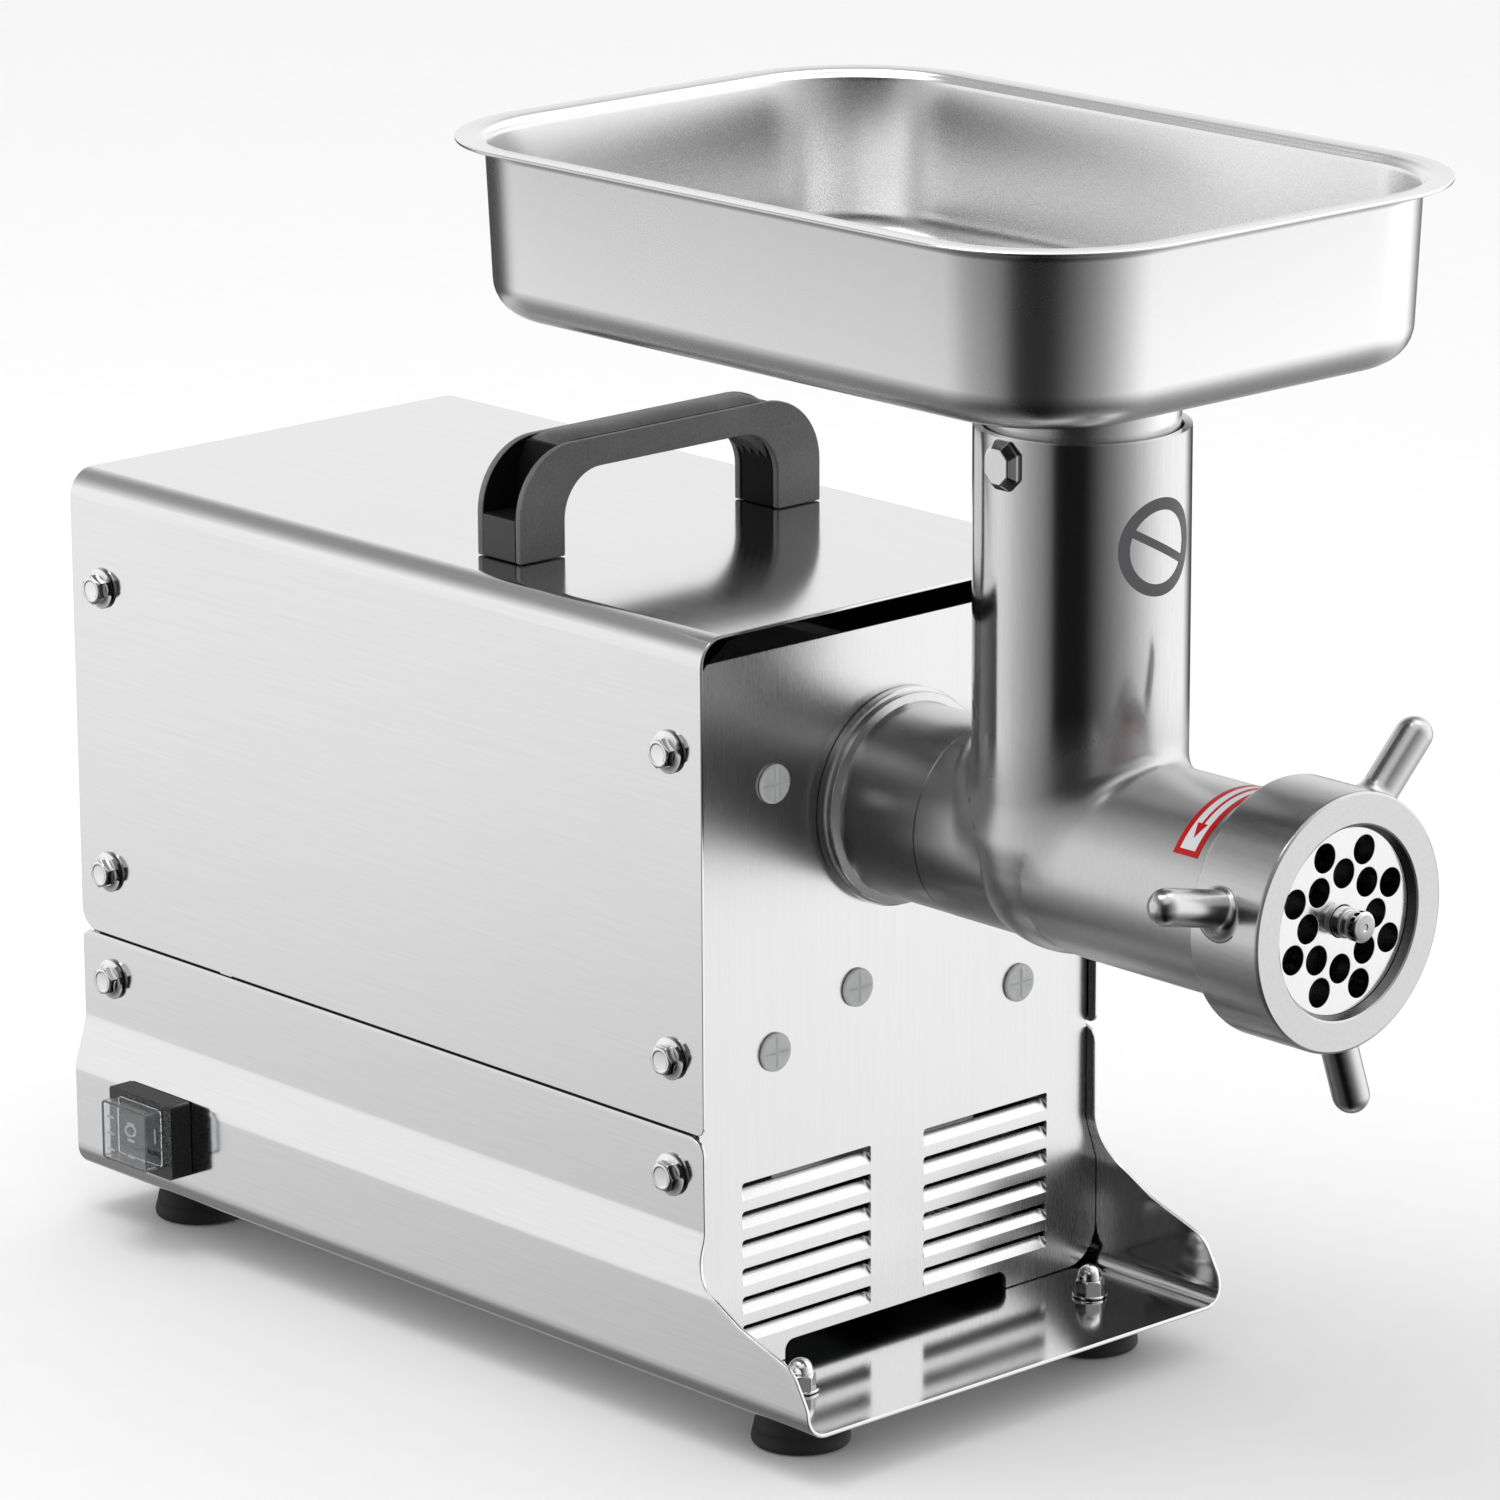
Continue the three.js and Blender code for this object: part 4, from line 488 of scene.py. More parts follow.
def printed(name, colour, rough=(0.3, 0.42)):
    n = Finish(name, Specular_IOR_Level=0.25)
    fibre = n.noise(400.0, 3.0, 0.6)
    n.colour(n.blend(fibre, tuple(c * 0.94 for c in colour), colour))
    n.rough(n.span(fibre, rough[0], rough[1], 0.3, 0.7))
    return n.mat


PRINT_RED = printed("print_red", (0.56, 0.008, 0.012))
PRINT_WHITE = printed("print_white", (0.80, 0.82, 0.84))
PRINT_GREY = printed("print_grey", grey(0.10, 0.005))
MARK_WHITE = printed("mark_white", grey(0.78))


def dress(obj, material, body, slot, *nodes):
    """Gives a piece its material, its body and the nodes it stands for. The slot argument is not used."""
    if material is not None:
        obj.data.materials.clear()
        obj.data.materials.append(material)
    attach(obj, body)
    if nodes:
        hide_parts(*nodes)
    return obj


def two_tone(obj, main, other, test):
    """Gives the faces that pass a test of (centre, normal), in drawing millimetres, the other material."""
    obj.data.materials.clear()
    obj.data.materials.append(main)
    obj.data.materials.append(other)
    for face in obj.data.polygons:
        face.material_index = int(test(drawn(face.center), face.normal))
    return obj


# ---- Sheet-metal body ----


def make_cover():
    """Folded cover with rounded lower corners and a small burr on each lower edge."""
    bottom = SEAM + GAP
    radius = 10.0
    front_r, rear_r, burr_y = 3.0, 8.0, 262.0
    bm = bmesh.new()
    top_z = TOP - radius
    for side in (-1, 1):
        outline = [(0, top_z)] + arc(front_r, bottom + front_r, front_r, 180, 270, 5)
        outline += [(burr_y - 3.6, bottom), (burr_y - 3.2, bottom - 0.4), (burr_y + 3.2, bottom - 0.4),
                    (burr_y + 3.6, bottom)]
        outline += arc(DEPTH - rear_r, bottom + rear_r, rear_r, 270, 360, 8) + [(DEPTH, top_z)]
        bm.faces.new([bm.verts.new((side * HALF, y, z)) for y, z in outline])
    section = arc(HALF - radius, top_z, radius, 0, 90, 15)
    section += [(-x, z) for x, z in reversed(section)]
    skin(bm, [(bm.verts.new((x, 0, z)), bm.verts.new((x, DEPTH, z))) for x, z in section])
    obj = finish_mesh(bm, "cover_sheet")
    thickened(obj, COVER_SHEET)
    return bevelled(obj, 0.35, 3)


def base_section(steps=8):
    """The base's outer section from the left seam, across the floor, to the right seam."""
    left = [(-HALF, SEAM - GAP, 0), (-HALF, FLARE_TOP, 14), (-FLARE, FLARE_FOOT, 14), (-FLARE, FLOOR, 8),
            (0, FLOOR, 0)]
    path = bend(left, steps)
    dense = [path[0]]
    for a, b in zip(path, path[1:]):
        pieces = max(1, int((b - a).length / 2.0)) if min(a.y, b.y) > FLOOR + 0.1 else 1
        dense += [a.lerp(b, k / pieces) for k in range(1, pieces + 1)]
    return dense + [Vector((-p.x, p.y)) for p in reversed(dense[:-1])]


WING = bend([
    (-LIP, FLOOR, 0), (-57.7, 27.5, 9), (-50.0, 40.4, 12), (-24.1, 48.6, 18), (-0.4, 61.0, 15),
    (0.0, SEAM - 7, 0),
], 8)


def seam_corner(z, radius):
    """How far the wall's rounded corner under the seam has drawn back at a height."""
    rise = max(0.0, z - (SEAM - GAP - radius))
    return radius - math.sqrt(max(0.0, radius ** 2 - rise ** 2))


def base_front(z):
    """Where the base's front edge is at a height: the lip, the swept wing, and the rounded top corner."""
    radius = 6.5
    if z > SEAM - GAP - radius:
        return seam_corner(z, radius)
    for a, b in zip(WING, WING[1:]):
        if a.y <= z <= b.y:
            return a.x + (b.x - a.x) * (z - a.y) / max(1e-9, b.y - a.y)
    return -LIP if z < 40 else 0.0


def make_base():
    """Folded base. Its two front edges sweep down from the cover to the lip."""
    bm = bmesh.new()
    rows = []
    for p in base_section():
        y0, y1 = base_front(p.y), DEPTH - seam_corner(p.y, 3.0)
        rows.append([bm.verts.new((p.x, y0 + (y1 - y0) * t, p.y)) for t in (0, 0.01, 0.5, 0.99, 1)])
    skin(bm, rows)
    obj = finish_mesh(bm, "base_sheet")
    thickened(obj, BASE_SHEET, math.copysign(1.0, obj.data.polygons[0].normal.x))
    return bevelled(obj, 0.4, 3)


def make_gasket():
    """Dark strips behind the seam, one on each side wall, which keep splashes out of the machine."""
    strips = []
    for side in (-1, 1):
        x0, x1 = sorted((side * (HALF - BASE_SHEET - 0.05), side * (HALF - BASE_SHEET - 1.2)))
        outline = rounded_rect(DEPTH - 16, 9.0, 1.0, DEPTH / 2, SEAM)
        strips.append(plate(f"gasket_{side}", outline, [], "x", x0, x1))
    return bevelled(joined(strips, "seam_gasket"), 0.2)


LOUVER_X, LOUVER_W, LOUVER_H, LOUVER_RISE = 43.65, 61.6, 6.4, 3.7
LOUVER_TOPS = [87.8 - 10.45 * k for k in range(6)]
PLUGS = {"upper_left": (-59, 229), "upper_right": (59, 229), "lower_left": (-59, 132.5),
         "lower_right": (59.5, 132.5), "centre": (-19.7, 147.6)}


def panel_outline(low, notch):
    """The end panel's outline, following the base's flare, with a notch over the floor."""
    clear = BASE_SHEET + 0.35
    half, wide = HALF - clear, FLARE - clear
    right = bend([(0, low, 0), (wide, low, 14), (wide, FLARE_FOOT, 14), (half, FLARE_TOP, 14),
                  (half, PANEL_TOP - 5, 5), (half - 5, PANEL_TOP, 0)], 6)
    points = [(p.x, p.y) for p in right if p.x > 1e-6]
    if notch:
        half_w, top, r = 54.3, 25.2, 4.0
        points = arc(half_w - r, top - r, r, 90, 0, 5) + [(half_w, low)] + points
    return points + [(-x, z) for x, z in reversed(points)]


def louver(bm, x, top, face, inward):
    """A pressed louver: a scoop that starts flush at its lower edge and ends below an open slit."""
    ends = (0.0, 0.15, 0.35, 0.6, 0.9, 1.3, 2.0)
    stations = [*ends, *(2.0 + (LOUVER_W - 4.0) * k / 12 for k in range(1, 12)),
                *(LOUVER_W - e for e in ends[::-1])]
    rows = []
    for j in range(9):
        t = j / 8
        row = []
        for u in stations:
            end = min(1.0, min(u, LOUVER_W - u) / 1.3)
            depth = (2.5 * t + 0.5 * t ** 4) * math.sin(end * math.pi / 2) ** 0.9
            z = top - LOUVER_H + LOUVER_RISE * t
            row.append(bm.verts.new((x - LOUVER_W / 2 + u, face + inward * depth, z)))
        rows.append(row)
    skin(bm, rows)


def make_panel(name, face, inward, rows, notch, holes):
    """A flat end panel. Each louver meets the flat face all round, apart from its open upper edge."""
    low = FLOOR + BASE_SHEET + 0.4
    bm = bmesh.new()
    slits = [(x, top) for x in (-LOUVER_X, LOUVER_X) for top in rows]
    loops = []
    for x, top in slits:
        x0, x1, z0 = x - LOUVER_W / 2, x + LOUVER_W / 2, top - LOUVER_H
        loops.append([(x0, z0), (x1, z0), *arc(x1 - 0.8, top - 0.8, 0.8, 0, 90, 4),
                      *arc(x0 + 1.4, top - 1.4, 1.4, 90, 180, 5)])
    flat_faces(bm, panel_outline(low, notch), loops + holes, "y", face)
    flat = finish_mesh(bm, name + "_flat", smooth=False)
    thickened(flat, PANEL_SHEET, math.copysign(1.0, flat.data.polygons[0].normal.y * inward))
    bevelled(flat, 0.25, 2)
    bm = bmesh.new()
    for x, top in slits:
        louver(bm, x, top, face, inward)
    scoops = finish_mesh(bm, name + "_scoops", 60.0)
    thickened(scoops, PANEL_SHEET * 0.8, math.copysign(1.0, scoops.data.polygons[0].normal.y * inward))
    return joined([flat, smooth_by_angle(scoops, 60.0)], name)


def panel_flanges(name, face, inward):
    """The panel's side flanges, which take the bolts."""
    half = HALF - BASE_SHEET - 0.35
    low, high, width = 82.0, PANEL_TOP - 8, 23.0
    outline = rounded_rect(width, high - low, 3, face + inward * (1.0 + width / 2), (low + high) / 2)
    sides = [plate(f"{name}_{side}", outline, [], "x", *sorted((side * half, side * (half - PANEL_SHEET))))
             for side in (-1, 1)]
    return bevelled(joined(sides, name), 0.3)


REAR_FACE = DEPTH - 4.0

dress(make_cover(), STEEL_COVER, "chassis", "body_steel", "upper_cover")
dress(make_base(), STEEL_BASE, "chassis", "body_steel", "base_chassis")
dress(make_gasket(), RUBBER, "chassis", "foot_rubber")
GLAND_X, GLAND_Z = -66, 120
front_holes = [circle(35.4, 0, AXIS, 64)] + [circle(5.8, x, z, 24) for x, z in PLUGS.values()]
for end, face, inward, rows, notch, holes in (
    ("front", PANEL_Y, 1, LOUVER_TOPS, True, front_holes),
    ("rear", REAR_FACE, -1, LOUVER_TOPS[:4], False, [circle(8.3, GLAND_X, GLAND_Z, 32)]),
):
    sheet = joined([make_panel(end + "_plate", face, inward, rows, notch, holes),
                    panel_flanges(end + "_flanges", face, inward)], end + "_sheet")
    dress(sheet, STEEL_PANEL, "chassis", "body_steel", end + "_panel")

# ---- Fasteners, feet and plugs ----


HEX = 9.6
FOOT_X = 71.0


def hexagon(r, a):
    """Keeps a circle inside a hexagon of HEX across its flats."""
    return min(r, HEX / 2 / math.cos((a + math.pi / 6) % (math.pi / 3) - math.pi / 6))


def make_fastener(name, axis, centre, out, head, *rounds):
    """A hexagonal head and round parts, as (profile, steps), turned about a line whose w runs outwards."""
    def turned(part, profile, steps, **options):
        return lathe(f"{name}_{part}", [(r, out * w) for r, w in profile], axis, steps, centre, **options)

    parts = [bevelled(turned("hex", head, 48, radius_at=hexagon, sharp=25), 0.18, 2, 25)]
    return joined(parts + [turned(k, *part) for k, part in enumerate(rounds)], name)


def make_flange_bolt(name, x, y, z, side):
    """Flange-head bolt on a side wall."""
    washer = [(0, 0.3), (7.3, 0.3), (7.6, 0.5), (7.65, 0.95), (7.4, 1.2), (5.9, 1.35), (5.1, 1.9), (0, 1.9)]
    head = [(0, 1.0), (9, 1.0), (9, 4.75), (5.3, 4.9), (4.75, 5.25), (4.5, 5.35), (3.7, 5.35), (3.4, 5.15),
            (0, 5.1)]
    shank = [(0, -11.5), (2.4, -11.5), (2.9, -11), (2.9, 1.2), (0, 1.2)]
    return make_fastener(name, "x", (x, y, z), side, head, (washer, 48), (shank, 24))


for side_name, side in (("left", -1), ("right", 1)):
    for row, z in (("upper", 245.0), ("middle", 135.5), ("lower", 93.5)):
        for column, y in (("front", 16.3), ("rear", 330.5)):
            place = f"{side_name}_{column}_{row}"
            bolt = make_flange_bolt("bolt_" + place, side * HALF, y, z, side)
            # Each bolt stopped at its own angle when it was tightened.
            turned_about(bolt, "X", (z * 7 + y * 3 + side * 11) % 60, (0, y, z))
            dress(bolt, STEEL_BRIGHT, "chassis", "bright_fasteners", "flange_bolt_" + place)


def make_acorn_nut(name, x, y):
    """Domed nut and washer on the base floor, with the foot's screw below."""
    washer = [(0, 0), (6.2, 0), (6.4, 0.25), (6.4, 0.8), (6.2, 1.0), (0, 1.0)]
    body = [(0, 0.8), (9, 0.8), (9, 5.4), (5.0, 6.0), (4.75, 6.3), (0, 6.3)]
    dome = [(0, 5), (4.6, 5), (4.65, 6.4)]
    dome += [(4.65 * math.cos(math.radians(a)), 6.9 + 4.75 * math.sin(math.radians(a)))
             for a in range(0, 90, 9)]
    screw = [(0, -11.3), (2.4, -11.3), (2.9, -10.8), (2.9, 1), (0, 1)]
    return make_fastener(name, "z", (x, y, FLOOR + BASE_SHEET + 0.3), 1, body, (washer, 48),
                         (dome + [(0, 11.65)], 48), (screw, 24))


def make_foot(name, x, y):
    """Conical rubber foot with a moulded groove and a hollow underside."""
    top = FLOOR - 0.3
    profile = [
        (0, 1.6), (11.5, 1.6), (12.3, 0.0), (16.2, 0.0), (17.0, 0.25), (17.4, 0.9), (17.5, 1.8), (17.3, 3.0),
        (16.75, 5.2), (16.35, 5.6), (16.35, 6.1), (16.5, 6.5), (15.2, 11.8), (14.9, 13.6), (14.5, 15.4),
        (14.0, top), (3.3, top), (3.3, 6.0), (0, 6.0),
    ]
    return lathe(name, profile, "z", 96, (x, y, 0))


for row, y in (("front", -22.0), ("rear", 312.0)):
    for side_name, side in (("left", -1), ("right", 1)):
        x = side * FOOT_X
        place = f"{row}_{side_name}"
        dress(make_foot("rubber_foot_" + place, x, y), RUBBER, "chassis", "foot_rubber", "foot_" + place)
        dress(make_acorn_nut("domed_nut_" + place, x, y), STEEL_BRIGHT, "chassis", "bright_fasteners",
              "acorn_nut_" + place)


def make_plug(name, x, z):
    """Snap-in plug: a shallow disc with a moulded cross, and a split stem behind the sheet."""
    face = PANEL_Y - 0.3
    profile = [(0.5 * k, face - 1.15) for k in range(12)]
    profile += [(6.1, face - 1.2), (6.6, face - 1.1), (6.9, face - 0.8), (7.0, face - 0.35), (6.95, face),
                (5.5, face), (5.5, face + 3.6), (5.2, face + 4), (0, face + 4)]

    def emboss(p):
        dx, dz = p.x - x, p.z - z
        if p.y >= face - 0.9 or math.hypot(dx, dz) >= 6.0:
            return None
        d = min(abs(dz), abs(dx))
        groove = 0.22 * math.exp(-((d - 1.0) / 0.8) ** 2)
        return p + Vector((0, 0.4 * math.exp(-((d / 0.4) ** 2)) - groove, 0))

    return smooth_by_angle(reshape(lathe(name, profile, "y", 96, (x, 0, z), sharp=50), emboss), 50)


for name, (x, z) in PLUGS.items():
    dress(make_plug(f"plug_{name}", x, z), PLUG_PLASTIC, "chassis", "plug_plastic", f"panel_plug_{name}")


def ribbed(r, a):
    return r - (0.35 if r > 10.4 and math.cos(18 * a) > 0.3 else 0.0)


# Cord gland: a flanged nose, ribs for grip, and a nut behind the sheet
gland_profile = [
    (4, -9.5), (8.9, -9.5), (10.6, -9.0), (10.6, -1.8), (8.0, -1.8), (8.0, 0.3), (10.6, 0.3), (10.7, 1.0),
    (10.7, 4.6), (10.2, 5.2), (7.6, 6.6), (7.0, 8.0), (6.3, 12.2), (5.9, 12.8), (4.4, 12.9), (4, 12.5),
]
gland = lathe("gland", gland_profile, "y", 144, (GLAND_X, REAR_FACE, GLAND_Z), closed=True, radius_at=ribbed)
dress(gland, BLACK_PLASTIC, "chassis", "black_plastic", "cord_gland")

# ---- Carrying handle ----

H_FOOT = TOP + 0.3
H_TOP = (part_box("carry_handle")[1].z - ORIGIN.z) / MM - 1.9
H_Y0, H_Y1 = 120.0, 143.5
H_HALF, H_LEG, H_GRIP = 72.0, 21.0, 10.4
WEB, SILL = 3.0, 15.5


def handle_curve(half, top, radius, steps=12):
    return [(p.x, p.y) for p in bend([(half, H_FOOT, 0), (half, top, radius), (-half, top, radius),
                                      (-half, H_FOOT, 0)], steps)]


def make_handle_web(name, y0, y1):
    outer = handle_curve(H_HALF, H_TOP, 25)
    inner = handle_curve(H_HALF - H_LEG, H_TOP - H_GRIP, 17)
    return bevelled(plate(name, outer + inner[::-1], [], "y", y0, y1), 0.7, 3, 40)


def make_handle_core():
    """The middle of the handle: foot blocks, thin inner walls and the bar that carries the grip."""
    inner = handle_curve(H_HALF - H_LEG + 0.5, H_TOP - H_GRIP + 0.5, 17.5)
    half = H_HALF - 0.5
    wall = H_HALF - H_LEG + 5.2
    sill = H_FOOT + SILL + 0.3
    left = [(-half, H_FOOT), (-half, sill), (-wall, sill), (-wall, H_TOP - 16), (-wall + 1.5, H_TOP - 7.5),
            (-wall + 4.5, H_TOP - 1.2)]
    outer = left + [(-x, z) for x, z in reversed(left)]
    core = plate("core", outer + inner, [], "y", H_Y0 + WEB + 0.3, H_Y1 - WEB - 0.3)
    return bevelled(core, 0.4, 2, 40)


def make_ribs():
    """Saw-toothed ribs between the webs, round both inner corners of the grip."""
    out = []
    teeth, r = 4, 17.5
    width = (H_Y1 - H_Y0 - 2 * WEB - 0.6) / teeth
    for side in (-1, 1):
        for k in range(teeth):
            y = H_Y0 + WEB + 0.3 + width * (k + 0.5)
            cx, cz = side * (H_HALF - H_LEG + 0.5 - r), H_TOP - H_GRIP + 0.5 - r
            sections = []
            for i in range(11):
                share = min(1.0, (i + 0.15) / 4.5)
                ca, sa = polar(1, 16 + 64 * i / 10)
                wide = width * 0.48 * share
                tooth = ((r + 0.5, -wide), (r - 2.6 * share ** 0.7, 0.0), (r + 0.5, wide))
                sections.append([(cx + side * rr * ca, y + dy, cz + rr * sa) for rr, dy in tooth])
            out.append(tube_between(f"rib_{side}_{k}", sections, sharp=20))
    return joined(out, "ribs")


def make_grip():
    """The crowned, textured strip along the top."""
    half = 50.5
    y0, y1 = H_Y0 + WEB + 0.35, H_Y1 - WEB - 0.35
    sections = []
    for i in range(41):
        x = -half + 2 * half * i / 40
        end = min(1.0, (half - abs(x)) / 9.0)
        lift = math.sin(end * math.pi / 2) ** 0.7
        across = [(k / 8, y0 + (y1 - y0) * (k + 8) / 16) for k in range(-8, 9)]
        crown = [(x, y, H_TOP - 1.6 + (1.6 + (1 - abs(v) ** 2.4) * 1.8) * lift) for v, y in across]
        sections.append(crown + [(x, y, H_TOP - 3.0) for v, y in reversed(across)])
    return tube_between("grip", sections, sharp=50)


webs = joined([make_handle_web("web_front", H_Y0, H_Y0 + WEB),
               make_handle_web("web_rear", H_Y1 - WEB, H_Y1)],
              "handle_webs")
# The webs' inner faces, which look into the hollow between them, get painted shade
two_tone(webs, WEB_PLASTIC, PAINTED_SHADE_PLASTIC,
         lambda p, n: H_Y0 + WEB - 0.1 < p.y < H_Y1 - WEB + 0.1 and abs(n.y) > 0.9)
dress(webs, None, "chassis", "black_plastic", "carry_handle")
# The core is coloured as painted shade, so the hollow between the webs and behind the ribs reads dark
dress(make_handle_core(), PAINTED_SHADE_PLASTIC, "chassis", "black_plastic")
dress(make_ribs(), WEB_PLASTIC, "chassis", "black_plastic")
dress(make_grip(), GRIP_PLASTIC, "chassis", "black_plastic")
sills = []
for side in (-1, 1):
    x0, x1 = sorted((side * (H_HALF - H_LEG + 1.5), side * (H_HALF - 0.1)))
    outline = rounded_rect(x1 - x0, SILL, 0.8, (x0 + x1) / 2, H_FOOT + SILL / 2)
    sills.append(plate(f"sill_{side}", outline, [], "y", H_Y0 + WEB + 0.25, H_Y1 - WEB - 0.25))
sills = bevelled(joined(sills, "handle_sills"), 0.3)
# The sills' upward faces get painted shade, darker than the rest of the sill
two_tone(sills, BLACK_PLASTIC, PAINTED_SHADE_PLASTIC, lambda p, n: n.z > 0.7)
dress(sills, None, "chassis", "black_plastic")

# ---- Switch ----

SW_Y, SW_Z = 296.5, 44.0
SW_FACE, SW_HOOD = -111.0, -119.0
PIVOT = (SW_FACE + 6.0, SW_Y, SW_Z)
TILT = 10


def make_switch_frame():
    outer = rounded_rect(37, 29, 1.6, SW_Y, SW_Z)
    well = rounded_rect(24, 14, 1.0, SW_Y, SW_Z)
    rim = plate("switch_frame", outer, [well], "x", SW_FACE, -FLARE - 0.3)
    bevelled(rim, 0.9, 3, 50)
    tub = plate("switch_tub", rounded_rect(33, 25, 1, SW_Y, SW_Z), [well], "x", -FLARE - 0.5, -FLARE + 19)
    back = plate("switch_back", rounded_rect(33, 25, 1, SW_Y, SW_Z), [], "x", -FLARE + 19, -FLARE + 20)
    return joined([rim, tub, back], "switch_body")


def make_rocker():
    """Two faces that meet at a shallow angle, each with a moulded mark; drawn level, then tilted."""
    half_l, half_w = 10.6, 6.6
    rise = half_l * math.tan(math.radians(TILT))
    x, y, z = PIVOT
    face = -4.5
    outline = [(x + face - rise * abs(s) + 0.35 * math.exp(-(s * 9) ** 2), y + half_l * s)
               for s in (k / 10 for k in range(-10, 11))]
    outline += [(x + 2, y + half_l - 2), (x + 7, y + 3), (x + 7, y - 3), (x + 2, y - half_l + 2)]
    body = plate("rocker_body", outline, [], "z", z - half_w, z + half_w)
    return bevelled(body, 0.5, 3, 35)


def make_rocker_marks():
    """A line on one half of the rocker and a ring on the other."""
    x, y, z = PIVOT
    slope = math.tan(math.radians(TILT))
    marks = []
    bar = rounded_rect(1.0, 6.0, 0.45, y - 5.6, z, 4)
    ring_out, ring_in = circle(2.5, y + 5.8, z, 40), circle(1.7, y + 5.8, z, 40)
    for name, outline, holes in (("mark_line", bar, []), ("mark_ring", ring_out, [ring_in])):
        mark = plate(name, outline, holes, "x", -0.35, 0.0)
        marks.append(reshape(mark, lambda p: p + Vector((x - 4.55 - abs(p.y - y) * slope, 0, 0))))
    return joined(marks, "rocker_marks")


def make_hood():
    """The clear splash hood: thin walls, rounded corners, open at the back."""
    back = SW_FACE - 0.3
    outer = rounded_rect(26.2, 22.8, 1.6, SW_Y, SW_Z + 0.5)
    inner = rounded_rect(24.4, 21.0, 0.9, SW_Y, SW_Z + 0.5)
    wall = plate("hood_wall", outer, [inner], "x", SW_HOOD + 0.9, back)
    face = plate("hood_face", outer, [], "x", SW_HOOD, SW_HOOD + 0.9)
    cut_by(face, [wall], "UNION")
    return bevelled(face, 0.35, 3, 40)


def make_hood_marks():
    """Short index strokes printed on the hood's face."""
    places = [(SW_Y + y, SW_Z + z) for y in (8.6, -3.6) for z in (6.0, -0.4, -6.8)]
    return joined([plate(f"stroke_{y}_{z}", rounded_rect(4.2, 1.0, 0.4, y, z, 3), [], "x", SW_HOOD + 1.0,
                         SW_HOOD + 1.15) for y, z in places], "hood_marks")


dress(make_switch_frame(), SWITCH_PLASTIC, "chassis", "switch_plastic", "switch_housing")
dress(turned_about(make_rocker(), "Z", TILT, PIVOT), SWITCH_PLASTIC, "rocker", "switch_plastic",
      "switch_rocker")
dress(turned_about(make_rocker_marks(), "Z", TILT, PIVOT), MARK_WHITE, "rocker", "switch_plastic")
dress(make_hood(), HOOD_PLASTIC, "chassis", "clear_hood", "switch_hood")
dress(make_hood_marks(), MARK_WHITE, "chassis", "switch_plastic")

# ---- Grinding head ----

SOCKET = (0, 0, AXIS)
LOCK = (0, -20, AXIS)
socket_profile = [
    (30.3, -39.6), (31.0, -40.0), (34.0, -40.0), (34.5, -39.5), (34.5, -4.6), (34.9, -3.4), (36.6, -2.9),
    (37.6, -2.6), (37.95, -2.1), (37.95, -1.2), (37.4, -0.7), (37.4, -0.1), (38.4, 0.2), (39.0, 0.8),
    (39.0, 3.3), (38.6, 3.7), (34.9, 3.7), (34.9, 5.8), (45.2, 5.8), (46, 6.6), (46, 15.2), (45.2, 16),
    (24.0, 16), (24.0, 2), (17, 2), (17, -1.5), (30.3, -1.5),
]
socket = lathe("socket", socket_profile, "y", 160, SOCKET, closed=True, sharp=38)
boss = lathe("socket_boss", [(5.2, 32.5), (9, 32.5), (9, 39.9), (8.4, 40.5), (5.2, 40.5)], "x", 48, LOCK,
             closed=True)
cut_by(socket, [lathe("screw_hole", [(0, 29), (5.2, 29), (5.2, 42), (0, 42)], "x", 48, LOCK)])
smooth_by_angle(socket, 38)
dress(joined([socket, boss], "socket_body"), STEEL_HEAD, "chassis", "cast_steel", "head_socket")


def lobes(r, a):
    return r + (1.9 * math.cos(5 * a) if r > 9 else 0.0)


# Lobed clamping knob on a steel screw
KNOB_X = 43.5
knob_profile = [(0, 0), (9.5, 0), (12.6, 0.8), (13.8, 2.4), (14.2, 6), (13.8, 11), (12.2, 13.8), (9.4, 15.0),
                (6.0, 15.2), (5.4, 14.6), (0, 14.6)]
knob_head = lathe("knob_head", knob_profile, "x", 160, (KNOB_X, *LOCK[1:]), radius_at=lobes, sharp=60)
dress(knob_head, BLACK_PLASTIC, "knob", "black_plastic", "lock_knob")
screw_profile = [(4.9 if k % 2 else 4.35, 31.4 + 0.55 * k) for k in range(22)]
screw_profile = [(0, 30.6), (4.0, 30.6), *screw_profile, (4.3, KNOB_X + 0.6), (0, KNOB_X + 0.6)]
knob_screw = lathe("knob_screw", screw_profile, "x", 48, LOCK, sharp=70)
dress(knob_screw, STEEL_BRIGHT, "knob", "bright_fasteners")

REAR_R, FRONT_R = 34.6, 35.8
BARREL_BACK, BARREL_FRONT = -40.3, -184.0


def ease(t):
    t = max(0.0, min(1.0, t))
    return t * t * (3 - 2 * t)


def head_distance(p):
    """Signed distance, in millimetres, to the casting's outside: barrel and feed tube blended together."""
    x, y, z = p
    h = z - AXIS
    edge = -60.6 + 0.71 * (h - 23.1)
    radius = REAR_R + (FRONT_R - REAR_R) * ease((edge - y) / 1.8)
    barrel = math.hypot(x, h) - radius
    tube = math.hypot(x, y - TUBE_Y) - TUBE_R
    if h < 0:
        tube = math.sqrt(x * x + (y - TUBE_Y) ** 2 + h * h) - TUBE_R + 0.25 * min(1.0, -h / 8)
    k = 7.0
    t = max(k - abs(barrel - tube), 0.0) / k
    return min(barrel, tube) - t * t * k * 0.25 * ease((h + 4) / 14)


def head_slope(p):
    """The direction in which head_distance grows."""
    step = 0.02
    slope = []
    for i in range(3):
        a, b = list(p), list(p)
        a[i] += step
        b[i] -= step
        slope.append(head_distance(a) - head_distance(b))
    return Vector(slope).normalized()


